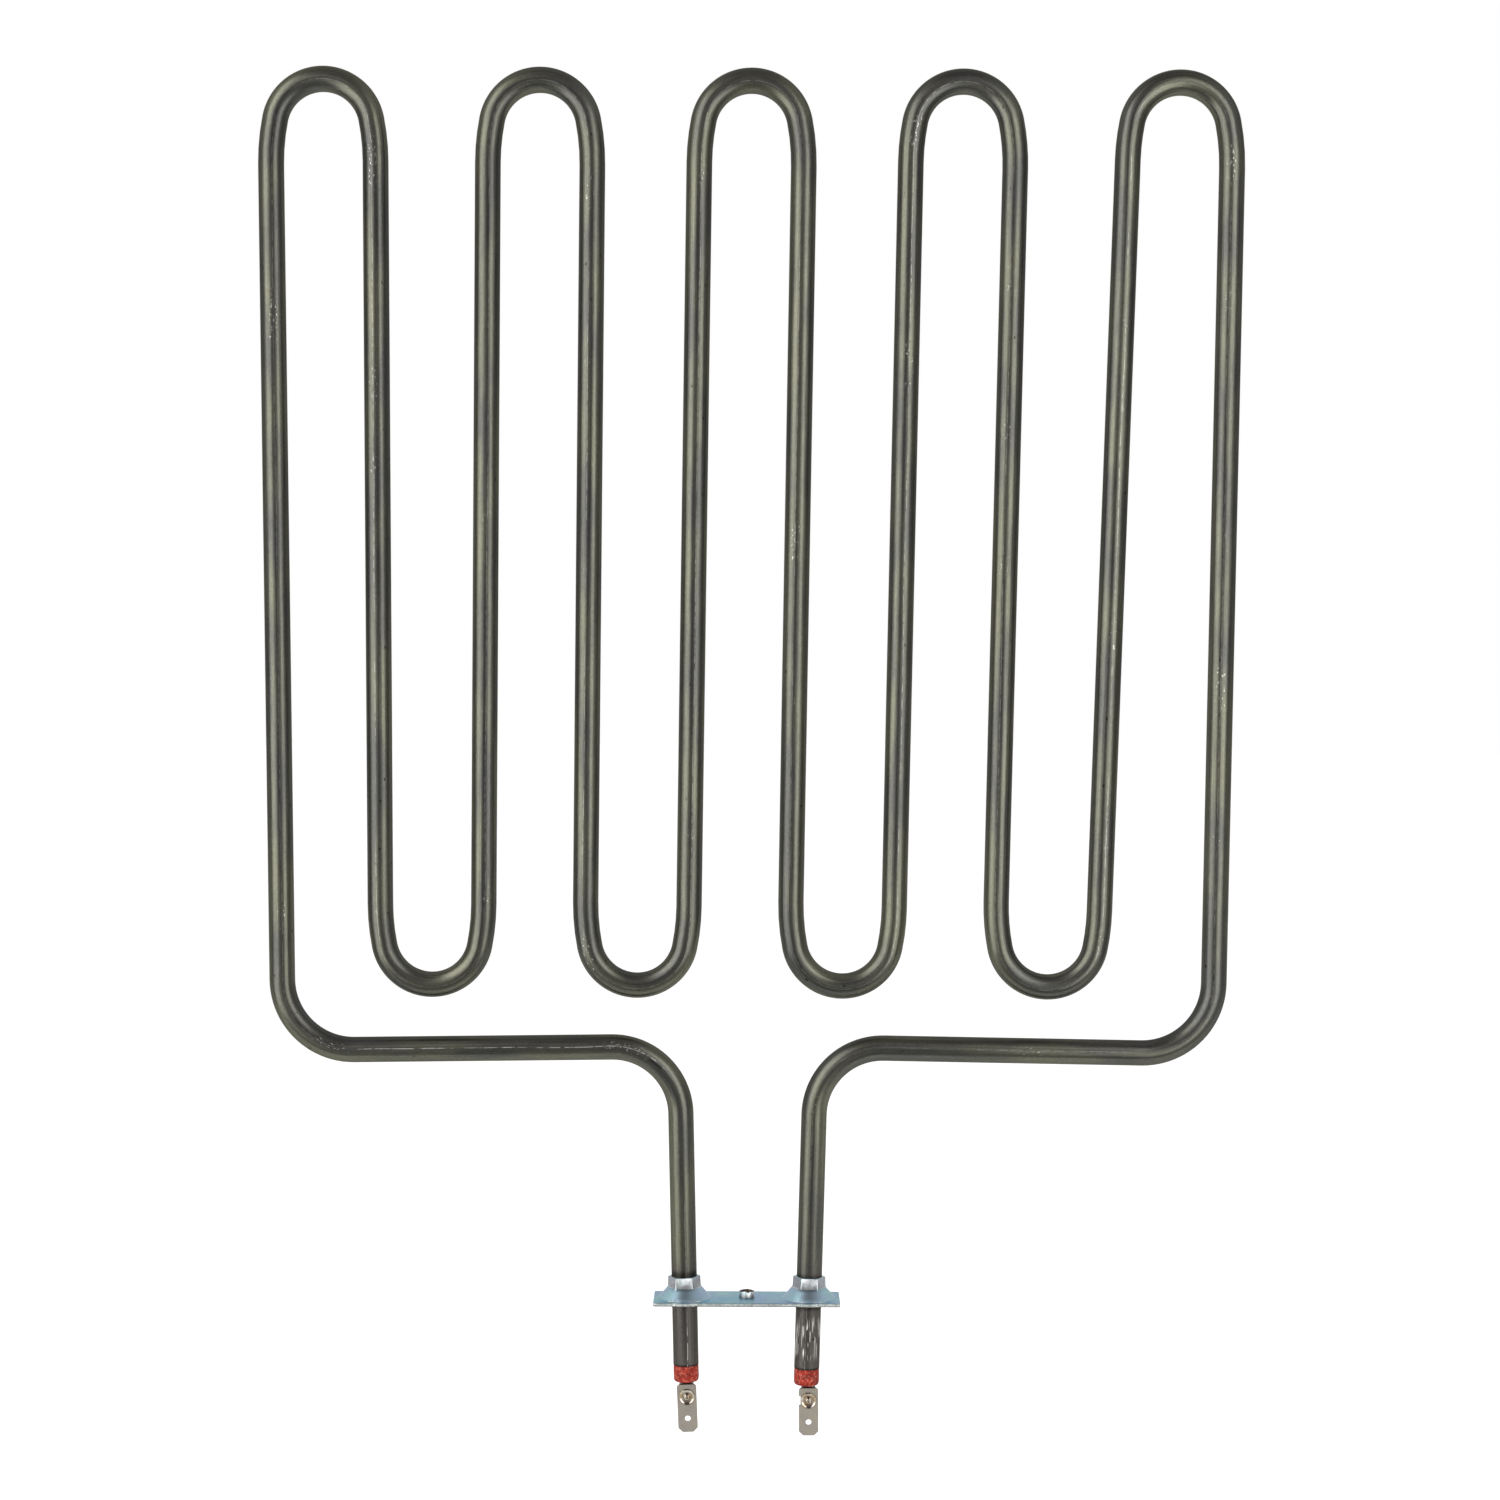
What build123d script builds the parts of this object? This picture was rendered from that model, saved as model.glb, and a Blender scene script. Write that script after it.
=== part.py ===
"""Serpentine tubular heating element with a crimped mounting flange.

Frame: +Z runs up along the legs, +X to the right across the coil and +Y away from the viewer.
The origin is the centre of the fixing thread on the flange's underside, which is the face that
seats on the heater's base panel. Every size is in millimetres.

How it is made: one steel sheath holds a resistance coil in packed insulation. A terminal pin is
fixed in each end of the coil, and comes out of the sheath through a resin plug and a rubber seal.
A flat tab is riveted to the flattened end of each pin. The flange is one pressed plate whose two
drawn collars are crimped round the sheath.
"""

import math
import os
from collections import namedtuple

from build123d import *

# ---------------------------------------------------------------- driving dimensions
# Sheath
SHEATH_DIAMETER = 8.2
SHEATH_WALL = 0.7

# Serpentine, measured on the centreline of the sheath
UPPER_HAIRPINS = 5
HAIRPIN_SPAN = 33.2  # between the two legs of one hairpin
HAIRPIN_SPRING_BACK = 1.05  # how far each leg opens out past the bending former
HAIRPIN_EASE_RADIUS = 71.0  # long bend in which a leg springs back to straight
HAIRPIN_PITCH = 67.2  # between neighbouring upper hairpins
OUTER_SPREAD = 1.7  # extra pitch of the first and last upper hairpin
LOWER_PITCH_LOSS = 1.3  # how much closer the lower hairpins stand than the upper ones
LOWER_ROW_SHIFT = -2.7  # the lower row's offset from the middle
COIL_HEIGHT = 288.4  # from the lower apexes to the upper ones
COIL_LIFT = 20.0  # from the shoulder runs up to the lower apexes
OUTER_LEG_LEAN = 3.0  # how far the outer legs come in on their way down

# Shoulders and neck
SHOULDER_HEIGHT = 82.2  # centreline of a shoulder run at its inner end
SHOULDER_DROP = 1.2  # how much lower its outer end lies
CORNER_RADIUS = 22.8
NECK_RADIUS = 22.0
TOE_IN = 1.35  # degrees by which each terminal leg leans inwards on its way down

# Flange
TERMINAL_PITCH = 40.0  # at the flange's underside
FLANGE_LENGTH = 60.0
FLANGE_DEPTH = 17.0
FLANGE_THICKNESS = 1.2
FLANGE_CORNER_RADIUS = 0.8
FLANGE_EDGE_ROUNDING = 0.2
FLANGE_BULGE_RIM = 0.75  # flat rim left outside a collar's foot, which bulges the plate's edge
FLANGE_BULGE_BLEND = 3.0
COLLAR_HEIGHT = 7.0  # above the plate
COLLAR_FOOT_RADIUS = 8.5
COLLAR_FOOT_FILLET = 0.8
COLLAR_SHOULDER_RADIUS = 5.4  # where the cone ends under the crimped neck
COLLAR_SHOULDER_HEIGHT = 3.6
COLLAR_CONE_WALL = 1.1
COLLAR_ACROSS_FLATS = 9.6  # of the crimped hexagon, at its foot
COLLAR_DRAFT = 3.0  # degrees by which the crimped neck tapers
COLLAR_RIDGE_ROUNDING = 0.5
COLLAR_TOP_CHAMFER = 0.15
COLLAR_GAP = 0.02
THREAD_BORE = 3.3  # tapping size of an M4 thread
THREAD_BOSS_DIAMETER = 4.8
THREAD_BOSS_HEIGHT = 2.2
THREAD_BOSS_FILLET = 0.3

# Cold ends, measured along each terminal leg
COLD_END_LENGTH = 20.6  # sheath below the flange on the left
RIGHT_COLD_END_EXTRA = 1.0
COLD_LENGTH = 70.0  # unheated length, from the mouth of the sheath to the coil
SEAL_DIAMETER = 8.1
SEAL_HEIGHT = 5.4
SEAL_TOP_CHAMFER = 0.3
SEAL_FOOT_CHAMFER = 0.5
SEAL_SPIGOT_LENGTH = 4.0
RESIN_LENGTH = 3.0
PACKING_GAP = 0.02  # between a packed or pressed piece and what holds it

# Terminal pin
PIN_DIAMETER = 3.4
PIN_SPIGOT_DIAMETER = 2.4
PIN_SPIGOT_LENGTH = 8.0
PADDLE_WIDTH = 4.6
PADDLE_THICKNESS = 1.6
PADDLE_EDGE_ROUNDING = 0.4
PADDLE_BELOW_RIVET = 2.8
PADDLE_FOOT_RADIUS = 1.6
LEFT_BEND_SHIFT = 0.0  # how far right a pin's flattened end is bent, and its tilt in degrees
LEFT_BEND_TILT = 1.2
RIGHT_BEND_SHIFT = 0.7
RIGHT_BEND_TILT = 1.8

# Resistance coil
COIL_WIRE_DIAMETER = 0.6

# Tab
TAB_WIDTH = 6.3
TAB_THICKNESS = 0.8
TAB_LENGTH = 15.5
TAB_BELOW_SEAL = 0.95
TAB_HOLE_DIAMETER = 1.9
TAB_HOLE_FROM_TIP = 4.35
TAB_TIP_CHAMFER = 1.4
TAB_TOP_RADIUS = 1.0
TAB_NOTCH_DEPTH = 0.55  # only the right tab has a notch, in its inner edge beside the rivet
TAB_NOTCH_HEIGHT = 3.0
TAB_EDGE_CHAMFER = 0.1

# Rivet
RIVET_FROM_TAB_TOP = 4.1
RIVET_SHANK_DIAMETER = 2.6
RIVET_HEAD_DIAMETER = 5.2
RIVET_RIM_HEIGHT = 0.55
RIVET_GROOVE_HEIGHT = 0.3
RIVET_BOSS_DIAMETER = 1.9
RIVET_BOSS_HEIGHT = 1.05
RIVET_TAIL_DIAMETER = 4.2
RIVET_TAIL_HEIGHT = 0.7
RIVET_TAIL_TAPER = 0.4
RIVET_GAP = 0.03

# ---------------------------------------------------------------- sizes that follow
SHEATH_RADIUS = SHEATH_DIAMETER / 2
BORE_RADIUS = SHEATH_RADIUS - SHEATH_WALL
PACKED_RADIUS = BORE_RADIUS - PACKING_GAP
PIN_RADIUS = PIN_DIAMETER / 2
COIL_INNER_RADIUS = PIN_SPIGOT_DIAMETER / 2 + PACKING_GAP
COIL_OUTER_RADIUS = COIL_INNER_RADIUS + COIL_WIRE_DIAMETER
SEAL_DEPTH = SEAL_SPIGOT_LENGTH + RESIN_LENGTH  # how deep each mouth is closed

LOWER_APEX_Z = SHOULDER_HEIGHT + COIL_LIFT
UPPER_APEX_Z = LOWER_APEX_Z + COIL_HEIGHT
HALF_SPAN = HAIRPIN_SPAN / 2
APEX_RADIUS = HALF_SPAN - HAIRPIN_SPRING_BACK
COLLAR_TOP = FLANGE_THICKNESS + COLLAR_HEIGHT
COLLAR_BORE_RADIUS = SHEATH_RADIUS + COLLAR_GAP

LEFT, RIGHT = -1, 1
TURNS_LEFT, TURNS_RIGHT = 1, -1
SAME_LENGTH = 1e-4  # two lengths closer than this count as equal

# ---------------------------------------------------------------- the centreline
# The sheath's centreline lies in the XZ plane. It is a chain of turns, each an arc that bends one
# way, with a straight run between two turns that don't touch. A point is a pair (x, z).
Turn = namedtuple("Turn", "x z radius way touches_next")
Straight = namedtuple("Straight", "start end")
Arc = namedtuple("Arc", "centre radius start sweep")  # start and sweep are angles in radians


def cold_end(side):
    """Length of sheath below the flange on one side."""
    return COLD_END_LENGTH + (RIGHT_COLD_END_EXTRA if side == RIGHT else 0.0)


def on_terminal_leg(side, distance):
    """A point on the axis of a terminal leg, at a distance above the flange's underside."""
    lean = math.radians(TOE_IN)
    return (side * (TERMINAL_PITCH / 2 + distance * math.sin(lean)), distance * math.cos(lean))


def upper_hairpin_x(index):
    """Middle of an upper hairpin, counted from the left."""
    steps = index - (UPPER_HAIRPINS - 1) / 2
    at_end = index in (0, UPPER_HAIRPINS - 1)
    spread = math.copysign(OUTER_SPREAD, steps) if at_end and steps else 0.0
    return steps * HAIRPIN_PITCH + spread


def lower_hairpin_x(index):
    """Middle of a lower hairpin, counted from the left."""
    steps = index - (UPPER_HAIRPINS - 2) / 2
    return steps * (HAIRPIN_PITCH - LOWER_PITCH_LOSS) + LOWER_ROW_SHIFT


def hairpin(x, apex_z, up, way):
    """A hairpin bend: a round apex, with a long easy bend on each side where the legs open."""
    apex_centre_z = apex_z - up * APEX_RADIUS
    ease_inset = HAIRPIN_EASE_RADIUS - HALF_SPAN
    drop = math.sqrt((HAIRPIN_EASE_RADIUS - APEX_RADIUS) ** 2 - ease_inset**2)
    ease_z = apex_centre_z - up * drop
    return [
        Turn(x + ease_inset, ease_z, HAIRPIN_EASE_RADIUS, way, True),
        Turn(x, apex_centre_z, APEX_RADIUS, way, True),
        Turn(x - ease_inset, ease_z, HAIRPIN_EASE_RADIUS, way, False),
    ]


def neck_turn(side):
    """The turn from a terminal leg into a shoulder run, tangent to the leaning leg."""
    lean = math.radians(TOE_IN)
    centre_z = SHOULDER_HEIGHT - NECK_RADIUS
    distance = (centre_z + NECK_RADIUS * math.sin(lean)) / math.cos(lean)
    leg_x, _ = on_terminal_leg(side, distance)
    return Turn(leg_x + side * NECK_RADIUS * math.cos(lean), centre_z, NECK_RADIUS, TURNS_LEFT, False)


def corner_turn(side):
    """The turn from a shoulder run up into an outer leg."""
    leg_x = abs(upper_hairpin_x(0)) + HALF_SPAN - OUTER_LEG_LEAN
    centre_z = SHOULDER_HEIGHT - SHOULDER_DROP + CORNER_RADIUS
    return Turn(side * (leg_x - CORNER_RADIUS), centre_z, CORNER_RADIUS, TURNS_RIGHT, False)


def all_turns():
    """Every turn of the sheath in order, from its left end to its right end."""
    turns = [neck_turn(LEFT), corner_turn(LEFT)]
    for index in range(UPPER_HAIRPINS):
        turns += hairpin(upper_hairpin_x(index), UPPER_APEX_Z, 1, TURNS_RIGHT)
        if index < UPPER_HAIRPINS - 1:
            turns += hairpin(lower_hairpin_x(index), LOWER_APEX_Z, -1, TURNS_LEFT)
    return [*turns, corner_turn(RIGHT), neck_turn(RIGHT)]


def tangent_run(first, second):
    """The straight run that leaves one turn and joins the next."""
    dx, dz = second.x - first.x, second.z - first.z
    side_shift = second.way * second.radius - first.way * first.radius
    heading = math.atan2(dz, dx) - math.asin(side_shift / math.hypot(dx, dz))
    normal_x, normal_z = -math.sin(heading), math.cos(heading)
    points = [
        (t.x - t.way * t.radius * normal_x, t.z - t.way * t.radius * normal_z)
        for t in (first, second)
    ]
    return Straight(*points)


def touching_point(first, second):
    """Where two turns of the same way meet, the smaller inside the larger."""
    large, small = (first, second) if first.radius > second.radius else (second, first)
    dx, dz = small.x - large.x, small.z - large.z
    share = large.radius / math.hypot(dx, dz)
    return (large.x + dx * share, large.z + dz * share)


def arc_between(turn, entry, leaving):
    """The arc of a turn from the point where it is entered to the one where it is left."""
    start = math.atan2(entry[1] - turn.z, entry[0] - turn.x)
    end = math.atan2(leaving[1] - turn.z, leaving[0] - turn.x)
    sweep = turn.way * ((turn.way * (end - start)) % (2 * math.pi))
    return Arc((turn.x, turn.z), turn.radius, start, sweep)


def centreline():
    """The straights and arcs of the whole sheath, from its left mouth to its right mouth."""
    mouths = [on_terminal_leg(side, -cold_end(side)) for side in (LEFT, RIGHT)]
    left_mouth, right_mouth = (Turn(x, z, 0.0, TURNS_LEFT, False) for x, z in mouths)
    chain = [left_mouth, *all_turns(), right_mouth]
    pieces, entry = [], None
    for turn, following in zip(chain, chain[1:]):
        if turn.touches_next:
            leaving = following_entry = touching_point(turn, following)
            run = None
        else:
            run = tangent_run(turn, following)
            leaving, following_entry = run.start, run.end
        if entry is not None:
            pieces.append(arc_between(turn, entry, leaving))
        if run is not None:
            pieces.append(run)
        entry = following_entry
    return pieces


def piece_length(piece):
    if isinstance(piece, Straight):
        return math.dist(piece.start, piece.end)
    return abs(piece.sweep) * piece.radius


def part_of(piece, begin, finish):
    """The stretch of one straight or arc between two distances from its start."""
    length = piece_length(piece)
    a, b = begin / length, finish / length
    if isinstance(piece, Straight):
        (x0, z0), (x1, z1) = piece
        return Straight(
            (x0 + (x1 - x0) * a, z0 + (z1 - z0) * a),
            (x0 + (x1 - x0) * b, z0 + (z1 - z0) * b),
        )
    return Arc(piece.centre, piece.radius, piece.start + piece.sweep * a, piece.sweep * (b - a))


def stretch(pieces, begin, finish):
    """The stretch of the centreline between two distances from its left end."""
    kept, travelled = [], 0.0
    for piece in pieces:
        length = piece_length(piece)
        low, high = max(begin - travelled, 0.0), min(finish - travelled, length)
        if high - low > SAME_LENGTH:
            kept.append(part_of(piece, low, high))
        travelled += length
    return kept


def point_on(arc, share):
    angle = arc.start + arc.sweep * share
    return (
        arc.centre[0] + arc.radius * math.cos(angle),
        arc.centre[1] + arc.radius * math.sin(angle),
    )


def in_space(point):
    """A centreline point as a point in space."""
    return (point[0], 0.0, point[1])


def edge_of(piece):
    if isinstance(piece, Straight):
        return Edge.make_line(in_space(piece.start), in_space(piece.end))
    return Edge.make_three_point_arc(*(in_space(point_on(piece, s)) for s in (0.0, 0.5, 1.0)))


def rod(pieces, radius):
    """A round rod along a stretch of the centreline."""
    path = Wire([edge_of(piece) for piece in pieces])
    section = Plane(origin=path @ 0, z_dir=path % 0) * Circle(radius)
    return sweep(section, path=path)


def tube(pieces, outer_radius, inner_radius):
    """A round tube along a stretch of the centreline."""
    return rod(pieces, outer_radius) - rod(pieces, inner_radius)


# ---------------------------------------------------------------- inside the sheath
CENTRELINE = centreline()
TOTAL_LENGTH = sum(piece_length(piece) for piece in CENTRELINE)
COIL_START = COLD_LENGTH
COIL_END = TOTAL_LENGTH - COLD_LENGTH


def from_mouth(side, begin, finish):
    """The stretch between two depths inside one mouth of the sheath."""
    if side == LEFT:
        return stretch(CENTRELINE, begin, finish)
    return stretch(CENTRELINE, TOTAL_LENGTH - finish, TOTAL_LENGTH - begin)


def sheath():
    return tube(CENTRELINE, SHEATH_RADIUS, BORE_RADIUS)


def insulation():
    """Packed powder: a sleeve round the pins and the coil, and a core inside the coil."""
    sleeve = rod(stretch(CENTRELINE, SEAL_DEPTH, TOTAL_LENGTH - SEAL_DEPTH), PACKED_RADIUS)
    for side in (LEFT, RIGHT):
        sleeve -= rod(from_mouth(side, SEAL_DEPTH, COLD_LENGTH), PIN_RADIUS + PACKING_GAP)
    sleeve -= rod(stretch(CENTRELINE, COIL_START, COIL_END), COIL_OUTER_RADIUS + PACKING_GAP)
    core_start = COIL_START + PIN_SPIGOT_LENGTH + PACKING_GAP
    core_end = COIL_END - PIN_SPIGOT_LENGTH - PACKING_GAP
    core = rod(stretch(CENTRELINE, core_start, core_end), COIL_INNER_RADIUS - PACKING_GAP)
    return Compound([*sleeve.solids(), *core.solids()])


def resistance_coil():
    """The envelope of the close-wound coil, from one pin's spigot to the other's."""
    return tube(stretch(CENTRELINE, COIL_START, COIL_END), COIL_OUTER_RADIUS, COIL_INNER_RADIUS)


# ---------------------------------------------------------------- the cold ends
# These pieces are modelled upright about the Z axis, with z = 0 at the flange's underside. Each
# is then leaned over with its terminal leg, the tabs and rivets after the bend in their pin.
def on_leg(side, shape):
    """Puts an upright shape on one terminal leg."""
    return Pos(side * TERMINAL_PITCH / 2, 0, 0) * Rot(0, side * TOE_IN, 0) * shape


def upright(radius, bottom, top):
    """A round bar on the Z axis, between two heights."""
    bar = Cylinder(radius, top - bottom, align=(Align.CENTER, Align.CENTER, Align.MIN))
    return Pos(0, 0, bottom) * bar


def mouth(side):
    """Height of the sheath's open end."""
    return -cold_end(side)


def seal_foot(side):
    return mouth(side) - SEAL_HEIGHT


def tab_top(side):
    return seal_foot(side) - TAB_BELOW_SEAL


def rivet_height(side):
    return tab_top(side) - RIVET_FROM_TAB_TOP


def bent(side, shape):
    """Bends an upright shape over with a pin's flattened end, before it leans with its leg."""
    if side == LEFT:
        shift, tilt = LEFT_BEND_SHIFT, LEFT_BEND_TILT
    else:
        shift, tilt = RIGHT_BEND_SHIFT, RIGHT_BEND_TILT
    foot = seal_foot(side)
    return Pos(shift, 0, foot) * Rot(0, -tilt, 0) * Pos(0, 0, -foot) * shape


def rivet_hole(side):
    """The rivet's hole through the tab and the flattened pin."""
    bar = Cylinder(RIVET_SHANK_DIAMETER / 2 + RIVET_GAP, 4 * (TAB_THICKNESS + PADDLE_THICKNESS))
    return Pos(0, 0, rivet_height(side)) * Rot(90, 0, 0) * bar


def paddle(side):
    """The pin's flattened end behind the tab, rounded at its foot."""
    foot = rivet_height(side) - PADDLE_BELOW_RIVET
    height = tab_top(side) - foot
    outline = Rectangle(PADDLE_WIDTH, height, align=(Align.CENTER, Align.MIN))
    outline = fillet(outline.vertices().sort_by(Axis.Y)[:2], PADDLE_FOOT_RADIUS)
    outline = Plane.XZ * (Pos(0, foot) * outline)
    return extrude(outline, PADDLE_THICKNESS / 2, both=True) - rivet_hole(side)


def terminal_pin(side):
    """Round in the sheath, stepped down where the coil grips it, and flattened at the tab."""
    spigot_start, spigot_end = COLD_LENGTH, COLD_LENGTH + PIN_SPIGOT_LENGTH
    round_end = Pos(0, 0, seal_foot(side)) * Circle(PIN_RADIUS)
    flat_end = Pos(0, 0, tab_top(side)) * RectangleRounded(
        PADDLE_WIDTH, PADDLE_THICKNESS, PADDLE_EDGE_ROUNDING
    )
    in_seal = upright(PIN_RADIUS, seal_foot(side), mouth(side))
    end = in_seal + loft([round_end, bent(side, flat_end)]) + bent(side, paddle(side))
    pin = rod(from_mouth(side, 0.0, COLD_LENGTH), PIN_RADIUS) + on_leg(side, end)
    return pin + rod(from_mouth(side, spigot_start, spigot_end), PIN_SPIGOT_DIAMETER / 2)


def resin_plug(side):
    """Sealing resin poured round the pin, between the insulation and the rubber seal."""
    pieces = from_mouth(side, SEAL_SPIGOT_LENGTH + PACKING_GAP, SEAL_DEPTH - PACKING_GAP)
    return tube(pieces, PACKED_RADIUS, PIN_RADIUS + PACKING_GAP)


def end_seal(side):
    """Rubber seal: a body about as wide as the sheath, and a spigot pushed into its mouth."""
    foot, spigot_top = seal_foot(side), mouth(side) + SEAL_SPIGOT_LENGTH
    body = upright(SEAL_DIAMETER / 2, foot, mouth(side))
    body = chamfer(body.edges().group_by(Axis.Z)[-1], SEAL_TOP_CHAMFER)
    body = chamfer(body.edges().group_by(Axis.Z)[0], SEAL_FOOT_CHAMFER)
    body += upright(PACKED_RADIUS, mouth(side), spigot_top)
    bore = upright(PIN_RADIUS + PACKING_GAP, foot - SEAL_HEIGHT, spigot_top + SEAL_HEIGHT)
    return on_leg(side, body - bore)


def tab_outline(side):
    """The tab seen from the front, with its top edge's middle at the origin."""
    blank = Pos(0, -TAB_LENGTH) * Rectangle(TAB_WIDTH, TAB_LENGTH, align=(Align.CENTER, Align.MIN))
    blank = chamfer(blank.vertices().sort_by(Axis.Y)[:2], TAB_TIP_CHAMFER)
    blank = fillet(blank.vertices().sort_by(Axis.Y)[-2:], TAB_TOP_RADIUS)
    if side == RIGHT:
        notch = Rectangle(2 * TAB_NOTCH_DEPTH, TAB_NOTCH_HEIGHT)
        blank -= Pos(-TAB_WIDTH / 2, -RIVET_FROM_TAB_TOP) * notch
    return blank - Pos(0, TAB_HOLE_FROM_TIP - TAB_LENGTH) * Circle(TAB_HOLE_DIAMETER / 2)


def tab(side):
    """A flat blade on the front of the flattened pin."""
    blade = extrude(Plane.XZ * tab_outline(side), TAB_THICKNESS)
    front = blade.faces().sort_by(Axis.Y)[0]
    blade = chamfer(front.outer_wire().edges(), TAB_EDGE_CHAMFER)
    blade = Pos(0, -PADDLE_THICKNESS / 2, tab_top(side)) * blade - rivet_hole(side)
    return on_leg(side, bent(side, blade))


def rivet(side):
    """Head in front with a raised rim and a boss in its middle, and an upset tail behind."""
    head_radius, shank_radius = RIVET_HEAD_DIAMETER / 2, RIVET_SHANK_DIAMETER / 2
    boss_radius, tail_radius = RIVET_BOSS_DIAMETER / 2, RIVET_TAIL_DIAMETER / 2
    groove_radius = (boss_radius + head_radius) / 2
    rim_radius = (groove_radius + head_radius) / 2
    grip = TAB_THICKNESS + PADDLE_THICKNESS
    outline = [
        (0, RIVET_BOSS_HEIGHT),
        (boss_radius, RIVET_BOSS_HEIGHT),
        (groove_radius, RIVET_GROOVE_HEIGHT),
        (rim_radius, RIVET_RIM_HEIGHT),
        (head_radius, RIVET_RIM_HEIGHT / 2),
        (head_radius, 0),
        (shank_radius, 0),
        (shank_radius, -grip),
        (tail_radius, -grip),
        (tail_radius - RIVET_TAIL_TAPER, -grip - RIVET_TAIL_HEIGHT),
        (0, -grip - RIVET_TAIL_HEIGHT),
    ]
    turned = revolve(make_face(Plane.XZ * Polyline(*outline, close=True)), Axis.Z)
    head_seat = -PADDLE_THICKNESS / 2 - TAB_THICKNESS
    seated = Pos(0, head_seat, rivet_height(side)) * Rot(90, 0, 0) * turned
    return on_leg(side, bent(side, seated))


# ---------------------------------------------------------------- the flange
def plate_outline():
    """A rounded rectangle whose long edges bulge where the collars were drawn."""
    outline = Rectangle(FLANGE_LENGTH, FLANGE_DEPTH)
    outline = fillet(outline.vertices(), FLANGE_CORNER_RADIUS)
    bulge_radius = COLLAR_FOOT_RADIUS + FLANGE_BULGE_RIM
    for side in (LEFT, RIGHT):
        outline += Pos(side * TERMINAL_PITCH / 2, 0) * Circle(bulge_radius)
    on_bulge = [
        vertex
        for vertex in outline.vertices()
        if abs(math.hypot(abs(vertex.X) - TERMINAL_PITCH / 2, vertex.Y) - bulge_radius) < SAME_LENGTH
    ]
    return fillet(on_bulge, FLANGE_BULGE_BLEND) if on_bulge else outline


def collar_cone(side):
    """The conical foot of one collar, solid."""
    cone = Cone(
        COLLAR_FOOT_RADIUS,
        COLLAR_SHOULDER_RADIUS,
        COLLAR_SHOULDER_HEIGHT,
        align=(Align.CENTER, Align.CENTER, Align.MIN),
    )
    return Pos(side * TERMINAL_PITCH / 2, 0, FLANGE_THICKNESS) * cone


def collar_neck(side):
    """The crimped neck of one collar, solid: a tapering hexagon with one flat in front."""
    foot = FLANGE_THICKNESS + COLLAR_SHOULDER_HEIGHT / 2
    hexagon = RegularPolygon(COLLAR_ACROSS_FLATS / 2, 6, major_radius=False, rotation=0)
    hexagon = fillet(hexagon.vertices(), COLLAR_RIDGE_ROUNDING)
    neck = extrude(Pos(0, 0, foot) * hexagon, COLLAR_TOP - foot, taper=COLLAR_DRAFT)
    neck = chamfer(neck.edges().group_by(Axis.Z)[-1], COLLAR_TOP_CHAMFER)
    return on_leg(side, neck)


def collar_hollow(side):
    """What is hollow in one collar: the leg's bore, and the cone the plate was drawn up from."""
    run = COLLAR_FOOT_RADIUS - COLLAR_SHOULDER_RADIUS
    slope = COLLAR_SHOULDER_HEIGHT / run
    sink = COLLAR_CONE_WALL * math.hypot(1, slope)
    mouth_radius = COLLAR_FOOT_RADIUS - (sink - FLANGE_THICKNESS) / slope
    height = (mouth_radius - COLLAR_BORE_RADIUS) * slope
    cone = Cone(mouth_radius, COLLAR_BORE_RADIUS, height, align=(Align.CENTER, Align.CENTER, Align.MIN))
    bore = upright(COLLAR_BORE_RADIUS, -COLLAR_HEIGHT, COLLAR_TOP + COLLAR_HEIGHT)
    return Pos(side * TERMINAL_PITCH / 2, 0, 0) * cone + on_leg(side, bore)


def foot_edges(plate, radius):
    """The round edges of one radius on the plate's upper face."""
    on_top = plate.edges().filter_by(GeomType.CIRCLE).filter_by_position(
        Axis.Z, FLANGE_THICKNESS, FLANGE_THICKNESS
    )
    return [edge for edge in on_top if abs(edge.radius - radius) < SAME_LENGTH]


def flange_plate():
    """Pressed plate with two crimped collars and a drawn, threaded boss in its middle."""
    plate = extrude(plate_outline(), FLANGE_THICKNESS)
    plate = fillet(plate.edges().group_by(Axis.Z)[-1], FLANGE_EDGE_ROUNDING)
    boss_top = FLANGE_THICKNESS + THREAD_BOSS_HEIGHT
    plate += upright(THREAD_BOSS_DIAMETER / 2, 0, boss_top)
    plate = fillet(foot_edges(plate, THREAD_BOSS_DIAMETER / 2), THREAD_BOSS_FILLET)
    for side in (LEFT, RIGHT):
        plate += collar_cone(side)
    plate = fillet(foot_edges(plate, COLLAR_FOOT_RADIUS), COLLAR_FOOT_FILLET)
    for side in (LEFT, RIGHT):
        plate += collar_neck(side)
        plate -= collar_hollow(side)
    return plate - upright(THREAD_BORE / 2, -boss_top, 2 * boss_top)


# ---------------------------------------------------------------- the assembly
def nodes():
    """Every piece by its node's name."""
    made = {
        "sheath": sheath(),
        "insulation": insulation(),
        "resistance_coil": resistance_coil(),
        "flange_plate": flange_plate(),
    }
    per_side = {
        "terminal_pin": terminal_pin,
        "resin_plug": resin_plug,
        "end_seal": end_seal,
        "tab": tab,
        "rivet": rivet,
    }
    for name, make in per_side.items():
        made[f"{name}_left"] = make(LEFT)
        made[f"{name}_right"] = make(RIGHT)
    return made


def main():
    os.makedirs("parts", exist_ok=True)
    for name, shape in nodes().items():
        export_step(shape, f"parts/{name}.step")
    section = math.pi * (SHEATH_RADIUS**2 - BORE_RADIUS**2)
    print(f"sheath length {TOTAL_LENGTH:.1f} mm, section times length {section * TOTAL_LENGTH:.0f} mm3")


main()
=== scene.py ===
"""Looks of the serpentine tubular heating element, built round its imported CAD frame."""

import math
from collections import namedtuple

import bpy
from mathutils import Matrix, Vector, noise


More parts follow.
